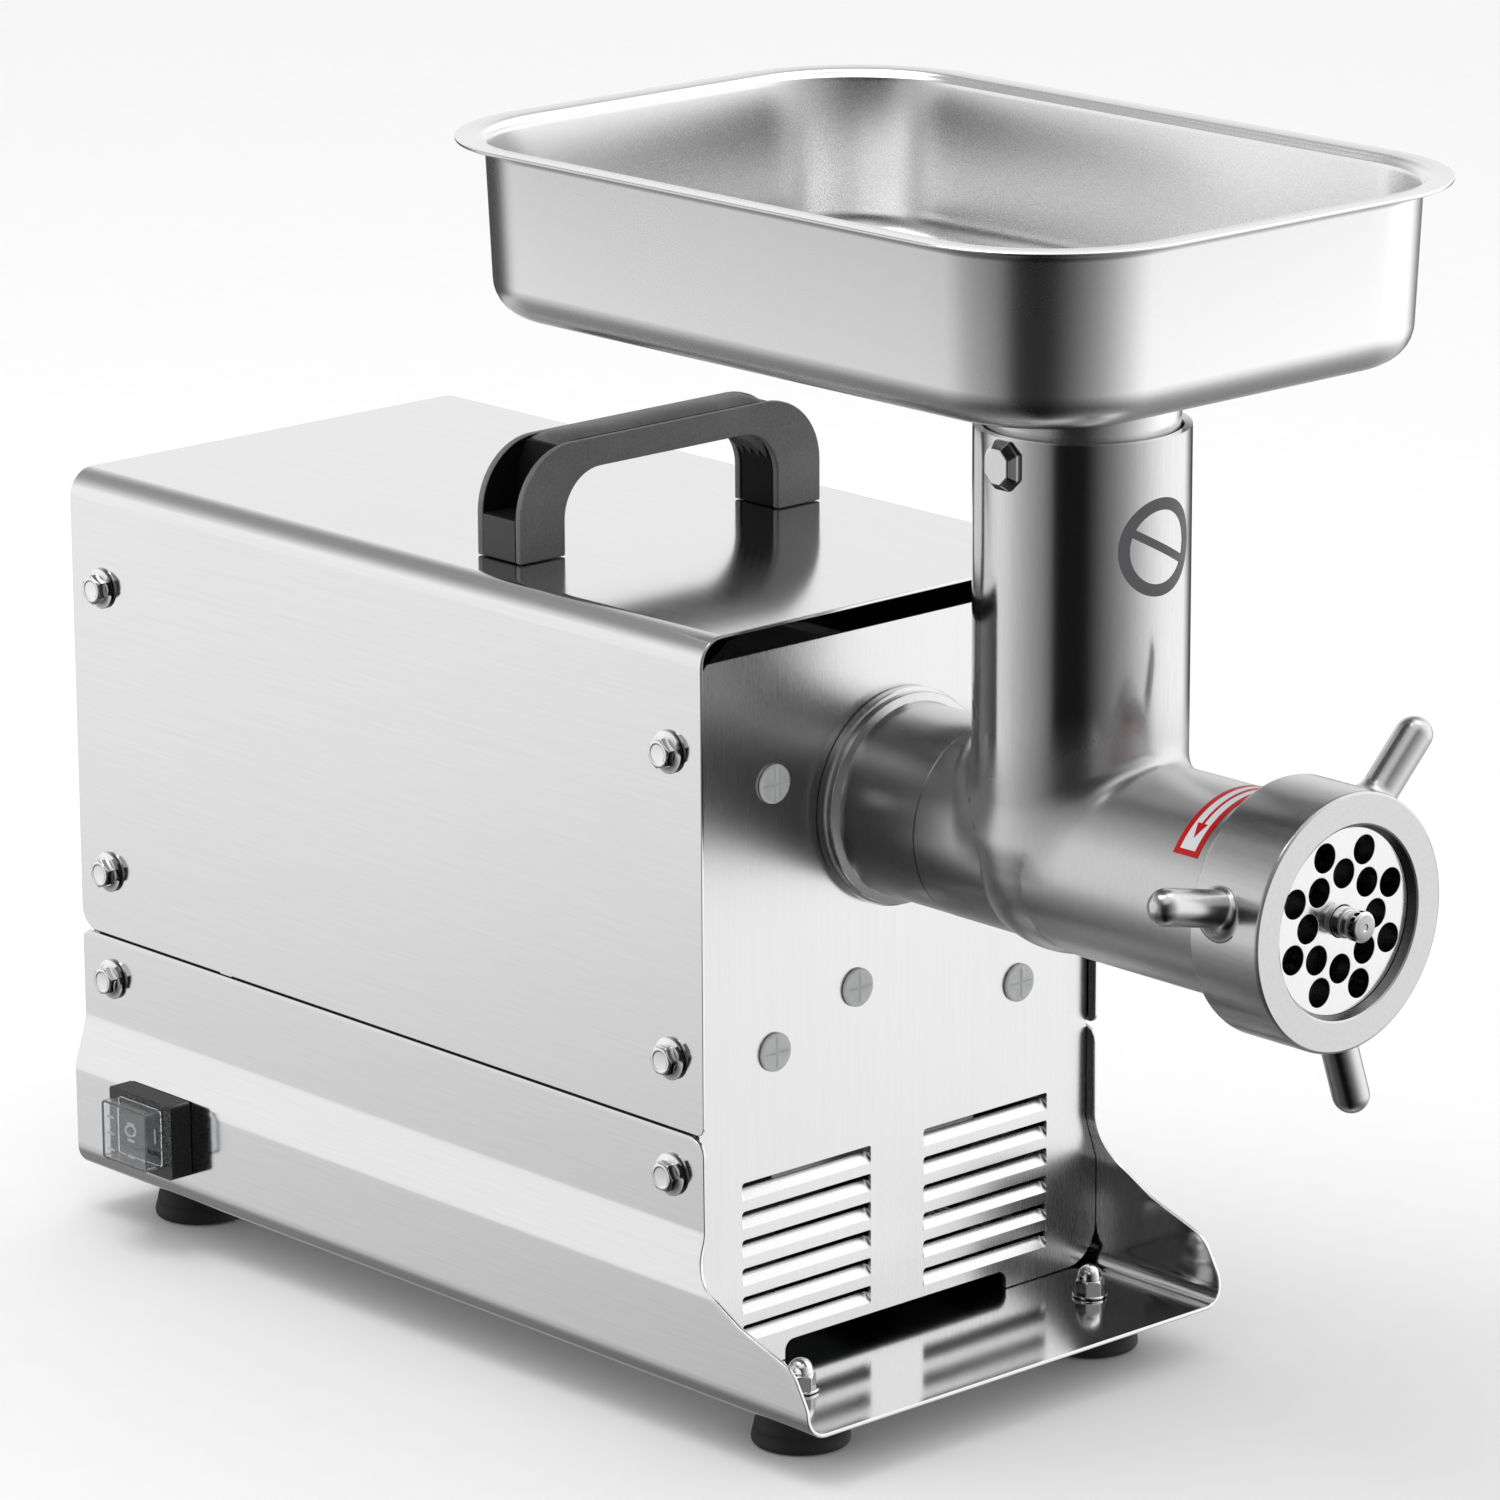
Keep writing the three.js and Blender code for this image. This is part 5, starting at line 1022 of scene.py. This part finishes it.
def make_casting():
    """The casting's outside, remeshed evenly and drawn onto the blended surface, then trimmed and bored."""
    barrel = lathe("barrel", [(0, -186), (35, -186), (35, -36), (0, -36)], "y", 96, SOCKET)
    tube = lathe("tube", [(0, AXIS), (TUBE_R - 0.3, AXIS), (TUBE_R - 0.3, TUBE_TOP + 4), (0, TUBE_TOP + 4)],
                 "z", 96,
                 (0, TUBE_Y, 0))
    cut_by(barrel, [tube], "UNION")
    modified(barrel, "REMESH", mode="VOXEL", voxel_size=1.7 * MM)

    def settle(p):
        if p.y > BARREL_BACK + 2.8 or p.y < BARREL_FRONT - 0.5 or p.z > TUBE_TOP + 3:
            return None
        for _ in range(3):
            p = p - head_slope(p) * head_distance(p)
        return p

    reshape(barrel, settle)
    trims = [
        plate("trim_rear", rounded_rect(120, 120, 1, 0, AXIS), [], "y", BARREL_BACK, BARREL_BACK + 20.3),
        plate("trim_front", rounded_rect(120, 120, 1, 0, AXIS), [], "y", BARREL_FRONT - 16, BARREL_FRONT),
        plate("trim_top", rounded_rect(120, 120, 1, 0, TUBE_Y), [], "z", TUBE_TOP, TUBE_TOP + 20),
    ]
    cut_by(barrel, trims)
    bore = lathe("bore", [(0, -30), (16, -30), (16, -48), (29.3, -48), (29.3, -188), (0, -188)], "y", 96,
                 SOCKET)
    throat = lathe("throat", [(0, AXIS + 10), (26.3, AXIS + 10), (26.3, AXIS + 34), (TUBE_BORE, AXIS + 40),
                              (TUBE_BORE, TUBE_TOP - 1.2), (TUBE_BORE + 0.9, TUBE_TOP + 0.1),
                              (TUBE_BORE + 0.9, TUBE_TOP + 2), (0, TUBE_TOP + 2)], "z", 96, (0, TUBE_Y, 0))
    cut_by(barrel, [bore, throat])
    smooth_by_angle(barrel, 40)
    mesh = barrel.data
    normals = []
    on_skin = {}
    for v in mesh.vertices:
        p = drawn(v.co)
        if abs(head_distance(p)) < 0.04:
            on_skin[v.index] = head_slope(p)
    for poly in mesh.polygons:
        for i in poly.loop_indices:
            n = on_skin.get(mesh.loops[i].vertex_index)
            follows = n is not None and n.dot(poly.normal) > 0.85
            normals.append(n if follows else mesh.corner_normals[i].vector.copy())
    mesh.normals_split_custom_set(normals)
    return barrel


dress(make_casting(), STEEL_HEAD, "head", "cast_steel", "grinder_head")

spigot = lathe("spigot", [(16, -3.6), (29.2, -3.6), (30, -4.4), (30, -40.1), (16, -40.1)], "y", 96, SOCKET,
               closed=True)
dress(spigot, STEEL_HEAD, "head", "cast_steel")
thread_profile = [(35.1, -203), (38.4, -203), (39.2, -202.4)]
for k in range(7):
    w = -201.8 + 2.4 * k
    thread_profile += [(39.2, w), (38.0, w + 0.9), (38.0, w + 1.3), (39.2, w + 2.2)]
thread_profile += [(38.6, -184.9), (37.0, -183.9), (29.6, -183.9), (29.6, -188), (35.1, -188.2)]
thread = lathe("thread", thread_profile, "y", 128, SOCKET, closed=True, sharp=25)
dress(thread, STEEL_HEAD, "head", "cast_steel")


def make_tube_boss():
    """The small chamfered pad high on the tube, facing the switch side."""
    z0, z1 = 344.0, 361.0
    rings = []
    for inset, x in ((0.0, -TUBE_R + 1.5), (0.0, -TUBE_R - 0.9), (2.4, -TUBE_R - 4.0)):
        w, h = 14.4 - 1.6 * inset, z1 - z0 - 2 * inset
        rings.append([(x, a, b) for a, b in rounded_rect(w, h, 4.0 - inset * 0.3, TUBE_Y, (z0 + z1) / 2, 1)])
    return bevelled(tube_between("tube_pad", rings, sharp=28), 0.5, 3, 25)


dress(make_tube_boss(), STEEL_HEAD, "head", "cast_steel")

# ---- Ring nut, plate, stud, knife and screw ----

RING_R, RING_FRONT, RING_BACK = 44.3, -210.4, -180.0


PLATE_FRONT, PLATE_BACK = -207.0, -199.0


def make_ring():
    """Ring nut with three pegs. Each root flares into the rim, more on one side than the other."""
    profile = [
        (39.8, RING_BACK), (43.2, RING_BACK), (44.0, RING_BACK - 0.5), (RING_R, RING_BACK - 1.4),
        (RING_R, RING_FRONT + 1.3), (44.05, RING_FRONT + 0.5), (43.3, RING_FRONT), (33.6, RING_FRONT),
        (33.0, RING_FRONT + 0.4), (31.6, -207.3), (39.8, -207.3),
    ]
    body = lathe("ring_body", profile, "y", 192, SOCKET, closed=True, sharp=25)
    pegs = []
    stem, reach, sides = 6.35, 77.0, 48
    # Each station is a height over the rim's skin and the part of the root's flare left at that height.
    stations = [(-2.5, 1.0)] + [(h, 1 - math.sqrt(2 * h - h * h))
                                for h in (0.0, 0.01, 0.03, 0.07, 0.12, 0.2, 0.3, 0.45, 0.68, 1.0)]
    # The stem and its round end, as (radius from the ring's axis, size)
    shaft = [(r, stem) for r in (54.0, 58.0, 62.0, 66.0, reach - stem)]
    shaft += [(reach - stem + stem * math.sin(math.radians(a)), stem * math.cos(math.radians(a)))
              for a in range(10, 90, 10)]
    for angle in (47, 167, 287):
        rings = []
        for h, share in stations:
            ring = []
            for j in range(sides):
                b = 2 * math.pi * j / sides
                fillet = 3.1 + 1.9 * math.sin(b)
                size = stem + fillet * share
                u, v = size * math.cos(b), size * math.sin(b)
                ring.append((math.sqrt(RING_R ** 2 - v * v) + (h if h < 0 else 1.15 * fillet * h), u, v))
            rings.append(ring)
        rings += [[(r, u, v) for u, v in circle(size, n=sides)] for r, size in shaft]
        ca, sa = polar(1, angle)
        placed = [[(r * ca - v * sa, -192.4 - 1.2 * (r - 44) / 33 + u, AXIS + r * sa + v * ca)
                   for r, u, v in ring] for ring in rings]
        pegs.append(tube_between(f"peg_{angle}", placed, sharp=60))
    inner = lathe("ring_room", [(0, RING_FRONT - 5), (40.2, RING_FRONT - 5), (40.2, RING_BACK + 6),
                                (0, RING_BACK + 6)],
                  "y", 96, SOCKET)
    pegs = joined(pegs, "pegs")
    cut_by(pegs, [inner])
    smooth_by_angle(pegs, 60)
    ring = joined([body, pegs], "ring")
    # The inner conical lip, between radii 31.6 and 33.0, gets dark steel as painted shade
    return two_tone(ring, STEEL_RING, STEEL_SHADE, lambda p, n: 31.6 < math.hypot(p.x, p.z - AXIS) < 33.0)


dress(make_ring(), None, "ring", "cast_steel", "ring_nut")


def make_plate_disc():
    """Grinding plate with sixteen 10 mm holes and a bore for the stud."""
    holes = [circle(5.65, 0, AXIS, 40)]
    for radius, first in ((16.2, 90.0), (24.7, 67.5)):
        for k in range(8):
            u, v = polar(radius, first + 45 * k - 2)
            holes.append(circle(5.0, u, AXIS + v, 40))
    disc = plate("disc", circle(34.8, 0, AXIS, 128), holes, "y", PLATE_FRONT, PLATE_BACK)
    bevelled(disc, 0.25, 2, 40)
    # The walls of the holes get dark steel as painted shade
    return two_tone(disc, STEEL_PLATE, STEEL_SHADE,
                    lambda p, n: abs(n.y) < 0.3 and math.hypot(p.x, p.z - AXIS) < 34.0)


dress(make_plate_disc(), None, "plate", "plate_steel", "grinding_plate")

stud_profile = [
    (0, -217.2), (1.0, -217.2), (1.4, -217.5), (4.3, -217.5), (4.9, -217.2), (5.3, -216.7), (5.35, -216.2),
    (5.35, -213.4), (5.2, -213.1), (4.5, -212.9), (4.3, -212.6), (4.3, -210.4), (4.6, -210.1), (5.2, -209.9),
    (5.3, -209.6), (5.3, -198.4), (0, -198.4),
]
stud = two_tone(lathe("stud", stud_profile, "y", 72, SOCKET, sharp=28), STEEL_BRIGHT, STEEL_GEAR,
                lambda p, n: n.y < -0.9)
dress(stud, None, "auger", "gear_steel", "auger_stud")
square = plate("stud_square", rounded_rect(12, 12, 0.8, 0, AXIS), [], "y", -198.6, -176)
dress(bevelled(square, 0.3), STEEL_GEAR, "auger", "gear_steel")


def make_knife():
    """Four-armed knife with ground leading edges."""
    def grind(p):
        return p - Vector((0, 3.2 * (p.z - AXIS) / 7, 0)) if p.y > -193 and p.z > AXIS else None

    outline = [(7.5, -6.5), (14, -5.6), (31.5, -4.2), (33.0, -1.5), (33.2, 2.0), (32.4, 5.2), (14, 6.4),
               (7.5, 7.0)]
    outline = [(x, z + AXIS) for x, z in outline]
    arms = [turned_about(reshape(plate(f"arm_{k}", outline, [], "y", PLATE_BACK + 0.2, -191.4), grind), "Y",
                         90 * k + 20, SOCKET) for k in range(4)]
    hub = lathe("hub", [(7.0, -198.8), (12.0, -198.8), (12.5, -198.2), (12.5, -190.9), (12.0, -190.3),
                        (7.0, -190.3)],
                "y", 64, SOCKET, closed=True)
    return bevelled(joined(arms + [hub], "blades"), 0.2, 2, 40)


dress(make_knife(), STEEL_GEAR, "auger", "gear_steel", "knife")


def make_screw():
    """Feed screw: a tapered core, a left-hand flight with rounded edges, and a square tail."""
    core = lathe("core", [
        (0, -36.2), (15.0, -36.2), (15.5, -36.7), (15.5, -51), (27.4, -51), (28.2, -51.8), (28.2, -53.4),
        (27.4, -54.2), (14.5, -56.5), (12, -61), (12.4, -90), (14, -140), (16, -168), (17, -189.4),
        (16.6, -189.7), (0, -189.7),
    ], "y", 72, SOCKET)
    steps, pitch, y0, y1 = 220, 44.0, -55.5, -185.5
    half = [(9, 2.9), (24, 2.2), (27.4, 1.9), (28.15, 1.3)]
    section = half + [(28.3, 0)] + [(r, -d) for r, d in reversed(half)]
    rings = []
    for k in range(steps + 1):
        y = y0 + (y1 - y0) * k / steps
        ca, sa = polar(1, -360 * (y0 - y) / pitch)
        rings.append([(r * ca, y + d, AXIS + r * sa) for r, d in section])
    flight = tube_between("flight", rings, sharp=45)
    tail = bevelled(plate("tail", rounded_rect(14, 14, 0.6, 0, AXIS), [], "y", -37, -8), 0.5)
    return joined([core, flight, tail], "feed_screw")


dress(make_screw(), STEEL_HEAD, "auger", "cast_steel", "auger")

# ---- Feed tray ----

T_HALF, T_FRONT, T_BACK, T_RIM, T_FLOOR = 112.49, -181.0, 141.4, 443.99, 381.5


def tray_ring(inset, z, radius=58.0, steps=20, straight=18):
    """A ring round the tray, set in from the rim's edge: corner arcs, and points along the straight sides."""
    r = max(radius - inset, 5.0)
    half, front, back = T_HALF - inset, T_FRONT + inset, T_BACK - inset
    centres = ((half - r, back - r), (-half + r, back - r), (-half + r, front + r), (half - r, front + r))
    corners = [arc(cx, cy, r, 90 * k, 90 * k + 90, steps) for k, (cx, cy) in enumerate(centres)]
    points = []
    for k, corner in enumerate(corners):
        (x0, y0), (x1, y1) = corner[-1], corners[(k + 1) % 4][0]
        points += corner
        points += [(x0 + (x1 - x0) * j / straight, y0 + (y1 - y0) * j / straight)
                   for j in range(1, straight)]
    return [(x, y, z) for x, y in points]


def throat_ring(r, z):
    """A ring of as many points round the throat, each facing its partner on the tray's ring."""
    angles = [math.atan2(y - TUBE_Y, x) for x, y, _ in tray_ring(30, 0)]
    return [(r * math.cos(a), TUBE_Y + r * math.sin(a), z) for a in angles]


def make_tray():
    """Deep-drawn tray: a flat flange with a step, tapered walls, a round bend, and a raised throat."""
    sheet, bend_r, taper, width, steps = 0.9, 13.0, 0.035, 10.2, 8

    def corner(lift):
        """The bend at the floor, on the outside or, lifted by the sheet's thickness, on the inside."""
        x, r = width + taper * (T_RIM - T_FLOOR) + lift, bend_r - lift
        return [(x + r - r * math.cos(a), T_FLOOR + lift + r - r * math.sin(a))
                for a in (math.pi / 2 * k / steps for k in range(steps + 1))]

    # Distances in from the rim's edge, then down from the rim
    outside = [(0.15, 1.2), (0, 0.9), (0, 0.35), (0.35, 0)]
    inside = [(-2.6, 0), (-1.6, 0.35), (-0.9, 1.2), (-0.3, 2.1), (0.7, 2.7), (sheet + 0.25, 4.2)]
    under = [(5 * taper, 5.4), (-0.2, 3.5), (-1.0, 2.6), (-1.4, 1.7), (-2.0, 1.2)]
    # The neck, as radii and heights over the floor
    neck = TUBE_TOP - T_FLOOR
    neck_out = [(31.0, -45.3), (33.0, neck), (33.9, -8.0), (34.8, -2.2), (36.2, -0.2), (38.5, 0.9),
                (41.5, 1.2), (44.5, 1.0), (46.0, 0.35), (47.0, 0)]
    neck_in = [(47.6, sheet), (46.4, 1.25), (44.8, 1.85), (41.5, 2.1), (38.2, 1.75), (35.4, 0.6),
               (33.8, -2.0), (32.9, -7.8), (32.0, neck), (30.1, -45.3), (30.6, -45.5)]
    path = [(x, T_RIM - z) for x, z in outside] + [(width + x, T_RIM - z) for x, z in inside] + corner(sheet)
    sections = [tray_ring(x, z) for x, z in path]
    sections += [throat_ring(r, T_FLOOR + z) for r, z in neck_in + neck_out]
    sections += [tray_ring(x, z) for x, z in reversed(corner(0.0))]
    sections += [tray_ring(width + x, T_RIM - z) for x, z in under]
    return tube_between("tray", sections + sections[:1], cap=False, sharp=40)


dress(make_tray(), STEEL_TRAY, "tray", "tray_steel", "feed_tray")

# ---- Stickers ----


def on_tube(obj, lift):
    """Wraps a flat drawing of (x, z), with y as its height, round the feed tube's front."""
    def wrap(p):
        u, v = polar(TUBE_R + lift - p.y, math.degrees(p.x / TUBE_R) - 90)
        return Vector((u, TUBE_Y + v, p.z))

    return reshape(obj, wrap)


def subdivided(obj, cuts=2):
    bm = bmesh.new()
    bm.from_mesh(obj.data)
    bmesh.ops.triangulate(bm, faces=bm.faces)
    for _ in range(cuts):
        long = [e for e in bm.edges if e.calc_length() > 2.2 * MM]
        bmesh.ops.subdivide_edges(bm, edges=long, cuts=1)
        bmesh.ops.triangulate(bm, faces=bm.faces)
    bm.to_mesh(obj.data)
    bm.free()
    return obj


def make_ban_mark():
    """A plain ring with a slanting bar."""
    z, outer, inner = 325.0, 16.8, 12.6
    ring = plate("ban_ring", circle(outer, 0, z, 96), [circle(inner, 0, z, 96)], "y", -0.08, 0.12)
    subdivided(ring, 3)
    c = inner + 0.4
    ca, sa = polar(1, 28)
    bar = [(u * ca + v * sa, z - u * sa + v * ca)
           for u, v in ((-c, -1.45), (c, -1.45), (c, 1.45), (-c, 1.45))]
    slash = subdivided(plate("ban_bar", bar, [], "y", -0.06, 0.12), 5)
    return on_tube(joined([ring, slash], "ban_mark"), 0.03)


dress(make_ban_mark(), PRINT_GREY, "head", "cast_steel")


def on_barrel(obj, lift):
    """Wraps a flat drawing of (angle in degrees, y), with z as its height, onto the front of the barrel."""
    def wrap(p):
        u, v = polar(FRONT_R + lift + p.z, p.x)
        return Vector((u, p.y, AXIS + v))

    return reshape(obj, wrap)


def strip(a, y0, y1, low, high):
    """A cross-section of a sticker at an angle on the barrel."""
    return [(a, y0, low), (a, y1, low), (a, y1, high), (a, y0, high)]


def band(name, a0, a1, y0, y1, low, high, steps=40):
    """A patch of the barrel's skin between two angles, in degrees, as a thin closed sheet."""
    rings = [strip(a0 + (a1 - a0) * k / steps, y0, y1, low, high) for k in range(steps + 1)]
    return tube_between(name, rings, sharp=60)


ARROW_FROM, ARROW_TO = 62.0, 147.0
LABEL_BACK, LABEL_FRONT, BORDER = -158.8, -169.8, 2.1
BORDER_TURN = math.degrees(BORDER / FRONT_R)
white = on_barrel(band("arrow_white", ARROW_FROM, ARROW_TO, LABEL_FRONT, LABEL_BACK, -0.05, 0.10), 0.02)
dress(white, PRINT_WHITE, "head", "cast_steel")
red = [
    band("red_back", ARROW_FROM, ARROW_TO, LABEL_BACK - BORDER, LABEL_BACK, 0.0, 0.16),
    band("red_front", ARROW_FROM, ARROW_TO, LABEL_FRONT, LABEL_FRONT + BORDER, 0.0, 0.16),
    band("red_end", ARROW_TO - BORDER_TURN, ARROW_TO, LABEL_FRONT, LABEL_BACK, 0.0, 0.162, 4),
    band("red_start", ARROW_FROM, ARROW_FROM + BORDER_TURN, LABEL_FRONT, LABEL_BACK, 0.0, 0.162, 4),
]
ARROW_MID = (LABEL_BACK + LABEL_FRONT) / 2
# The arrow's half width at stations from its tail to its tip: a slim shaft, wider at the tail, then barbs
ARROW_WIDTHS = [(70.0, 1.4), (80.0, 1.1), (92.0, 0.8), (105.0, 0.6), (126.9, 0.55), (127.0, 2.2),
                (136.5, 0.02)]
arrow_rings = []
for (a0, half0), (a1, half1) in zip(ARROW_WIDTHS, ARROW_WIDTHS[1:]):
    steps = max(1, math.ceil((a1 - a0) / 1.5))
    for k in range(steps + (a1 == ARROW_WIDTHS[-1][0])):
        a, half = a0 + (a1 - a0) * k / steps, half0 + (half1 - half0) * k / steps
        arrow_rings.append(strip(a, ARROW_MID - half, ARROW_MID + half, 0.0, 0.16))
red.append(tube_between("red_arrow", arrow_rings, sharp=60))
dress(on_barrel(joined(red, "arrow_red"), 0.02), PRINT_RED, "head", "cast_steel")

# ---- Inner pieces keep their CAD shape and get their own finishes ----

FINISHES = {
    ALUMINIUM: "gearbox_housing gearbox_cover motor_saddle run_capacitor",
    MOTOR_PAINT: "motor_shell motor_end_bell",
    STEEL_GEAR: "motor_rotor layshaft layshaft_wheel output_shaft output_wheel",
    STEEL_BEARING: "motor_bearing_front motor_bearing_rear output_bearing_front output_bearing_rear",
    FAN_PLASTIC: "cooling_fan",
    FIBRE: "thrust_washer",
}
for material, nodes in FINISHES.items():
    for node in nodes.split():
        for material_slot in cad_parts[node].material_slots:
            material_slot.material = material

# ---- Floor, light and camera ----


def make_floor():
    mesh = bpy.data.meshes.new("floor")
    size, z = 6.0, -0.0005
    mesh.from_pydata([(-size, -size, z), (size, -size, z), (size, size, z), (-size, size, z)], [],
                     [(0, 1, 2, 3)])
    floor = linked("floor", mesh)
    n = Finish("floor_paper", Roughness=0.9)
    n.colour(n.blend(n.noise(60.0, 4.0, 0.6), grey(0.88), grey(0.91)))
    mesh.materials.append(n.mat)
    floor.visible_glossy = False


def make_soft_light():
    """A softbox that fills the shadows. The studio's walls give most of the reflections."""
    place, target = Vector((-0.5, 0.4, 2.4)), Vector((0.0, 0.0, 0.22))
    lamp = bpy.data.lights.new("top_box", "AREA")
    lamp.shape = "RECTANGLE"
    lamp.size = lamp.size_y = 1.2
    lamp.energy = 14
    obj = linked("top_box", lamp)
    obj.location = place
    obj.rotation_mode = "QUATERNION"
    obj.rotation_quaternion = (target - place).to_track_quat("-Z", "Y")


make_floor()
make_soft_light()

# What the studio's walls look like to polished steel, by compass direction in degrees from +X: two wide
# softboxes, one on the left and one on the right, with dark felt between them on the operator's side.
WALLS = [
    (0, 1.45), (18, 1.12), (34, 1.0), (80, 1.0), (95, 1.06), (118, 1.06), (127, 1.12), (135, 1.05),
    (143, 0.93), (151, 0.77), (167, 0.54), (183, 0.34), (191, 0.20), (197, 0.035), (201, 0.014),
    (207, 0.009), (226, 0.010), (231, 0.025), (239, 0.083), (255, 0.25), (272, 0.47), (288, 0.79),
    (304, 1.13), (320, 1.40), (336, 1.48), (360, 1.45),
]
# How the walls fade with height, from straight down to straight up, where a softbox hangs over the machine
HEIGHTS = [(-90, 0.50), (-60, 0.22), (-45, 0.17), (-30, 0.42), (-18, 0.92), (-8, 1.0), (50, 1.0), (70, 1.5),
           (90, 1.7)]
# The ceiling is bright all round, even over the dark felt
CEILING = [(-90, 0.0), (30, 0.0), (46, 0.8), (62, 1.0), (90, 1.0)]
# Dark cards, each by compass direction and by height. The first stands low behind the machine and draws the
# thin dark edges on its round parts. The second fades the left wall towards the table. The third hangs high.
CARDS = [
    ([(0, 0.0), (8, 0.3), (16, 0.66), (24, 0.88), (34, 0.95), (94, 0.95), (102, 0.78), (110, 0.28),
      (118, 0.0), (360, 0.0)],
     [(-90, 0.0), (-25, 0.0), (-20, 1.0), (-7, 1.0), (-2, 0.0), (90, 0.0)]),
    ([(0, 0.0), (104, 0.0), (116, 1.0), (160, 1.0), (185, 0.0), (360, 0.0)],
     [(-90, 0.35), (-24, 0.35), (-20, 0.27), (-18, 0.185), (-17, 0.13), (-16, 0.06), (-14, 0.0), (90, 0.0)]),
    ([(0, 0.0), (20, 0.6), (40, 1.0), (190, 1.0), (215, 0.0), (360, 0.0)],
     [(-90, 0.0), (16, 0.0), (28, 0.34), (39, 0.66), (51, 0.73), (60, 0.25), (70, 0.0), (90, 0.0)]),
]


def make_world():
    world = bpy.data.worlds.new("studio")
    bpy.context.scene.world = world
    world.use_nodes = True
    n = Nodes(world.node_tree)

    def ramp(value, stops, low, high):
        """A colour ramp over stops of (place, level)."""
        node = n.fed("ShaderNodeValToRGB", n.span(value, 0.0, 1.0, low, high), "Fac")
        elements = node.color_ramp.elements
        while len(elements) > 1:
            elements.remove(elements[-1])
        for k, (place, level) in enumerate(stops):
            spot = (place - low) / (high - low)
            element = elements.new(spot) if k else elements[0]
            element.position = spot
            element.color = (level, level, level, 1)
        return node.outputs["Color"]

    split = n.fed("ShaderNodeSeparateXYZ", n.new("ShaderNodeTexCoord").outputs["Generated"])
    compass = n.maths("DEGREES", n.maths("ARCTAN2", split.outputs["Y"], split.outputs["X"]))
    compass = n.maths("WRAP", compass, 360.0, 0.0)
    height = n.maths("DEGREES", n.maths("ARCSINE", split.outputs["Z"]))
    walls = n.maths("MULTIPLY", ramp(compass, WALLS, 0, 360), ramp(height, HEIGHTS, -90, 90))
    walls = n.maths("MAXIMUM", walls, ramp(height, CEILING, -90, 90))
    for around, upright in CARDS:
        card = n.maths("MULTIPLY", ramp(compass, around, 0, 360), ramp(height, upright, -90, 90))
        walls = n.maths("MULTIPLY", walls, n.maths("SUBTRACT", 1.0, card))
    seen = n.fed("ShaderNodeBackground", walls, "Color")
    fill = n.new("ShaderNodeBackground")
    fill.inputs["Color"].default_value = (1, 1, 1, 1)
    mix = n.fed("ShaderNodeMixShader", n.new("ShaderNodeLightPath").outputs["Is Glossy Ray"], "Fac")
    n.link(fill.outputs["Background"], mix.inputs[1])
    n.link(seen.outputs["Background"], mix.inputs[2])
    n.link(mix.outputs["Shader"], n.tree.nodes["World Output"].inputs["Surface"])


make_world()
bpy.context.scene.view_settings.view_transform = "Standard"

# The camera: its place in drawing millimetres, its own axes, and its focal length in pixels of an image that
# is IMAGE pixels wide
EYE = Vector((-1699.6, -1773.3, 907.3))
RIGHT = Vector((0.7362, -0.6768, -0.0044))
UP = Vector((0.1829, 0.1927, 0.9641))
BACK = Vector((-0.6516, -0.7106, 0.2656))
FOCAL, IMAGE, SENSOR = 7326.0, 1500.0, 36.0
camera = linked("camera", bpy.data.cameras.new("camera"))
camera.data.sensor_width = SENSOR
camera.data.lens = SENSOR * FOCAL / IMAGE
camera.data.clip_start, camera.data.clip_end = 0.1, 50.0
turn = Matrix((RIGHT, UP, BACK)).transposed().to_4x4()
camera.matrix_world = Matrix.Translation(ORIGIN + EYE * MM) @ turn
bpy.context.scene.camera = camera
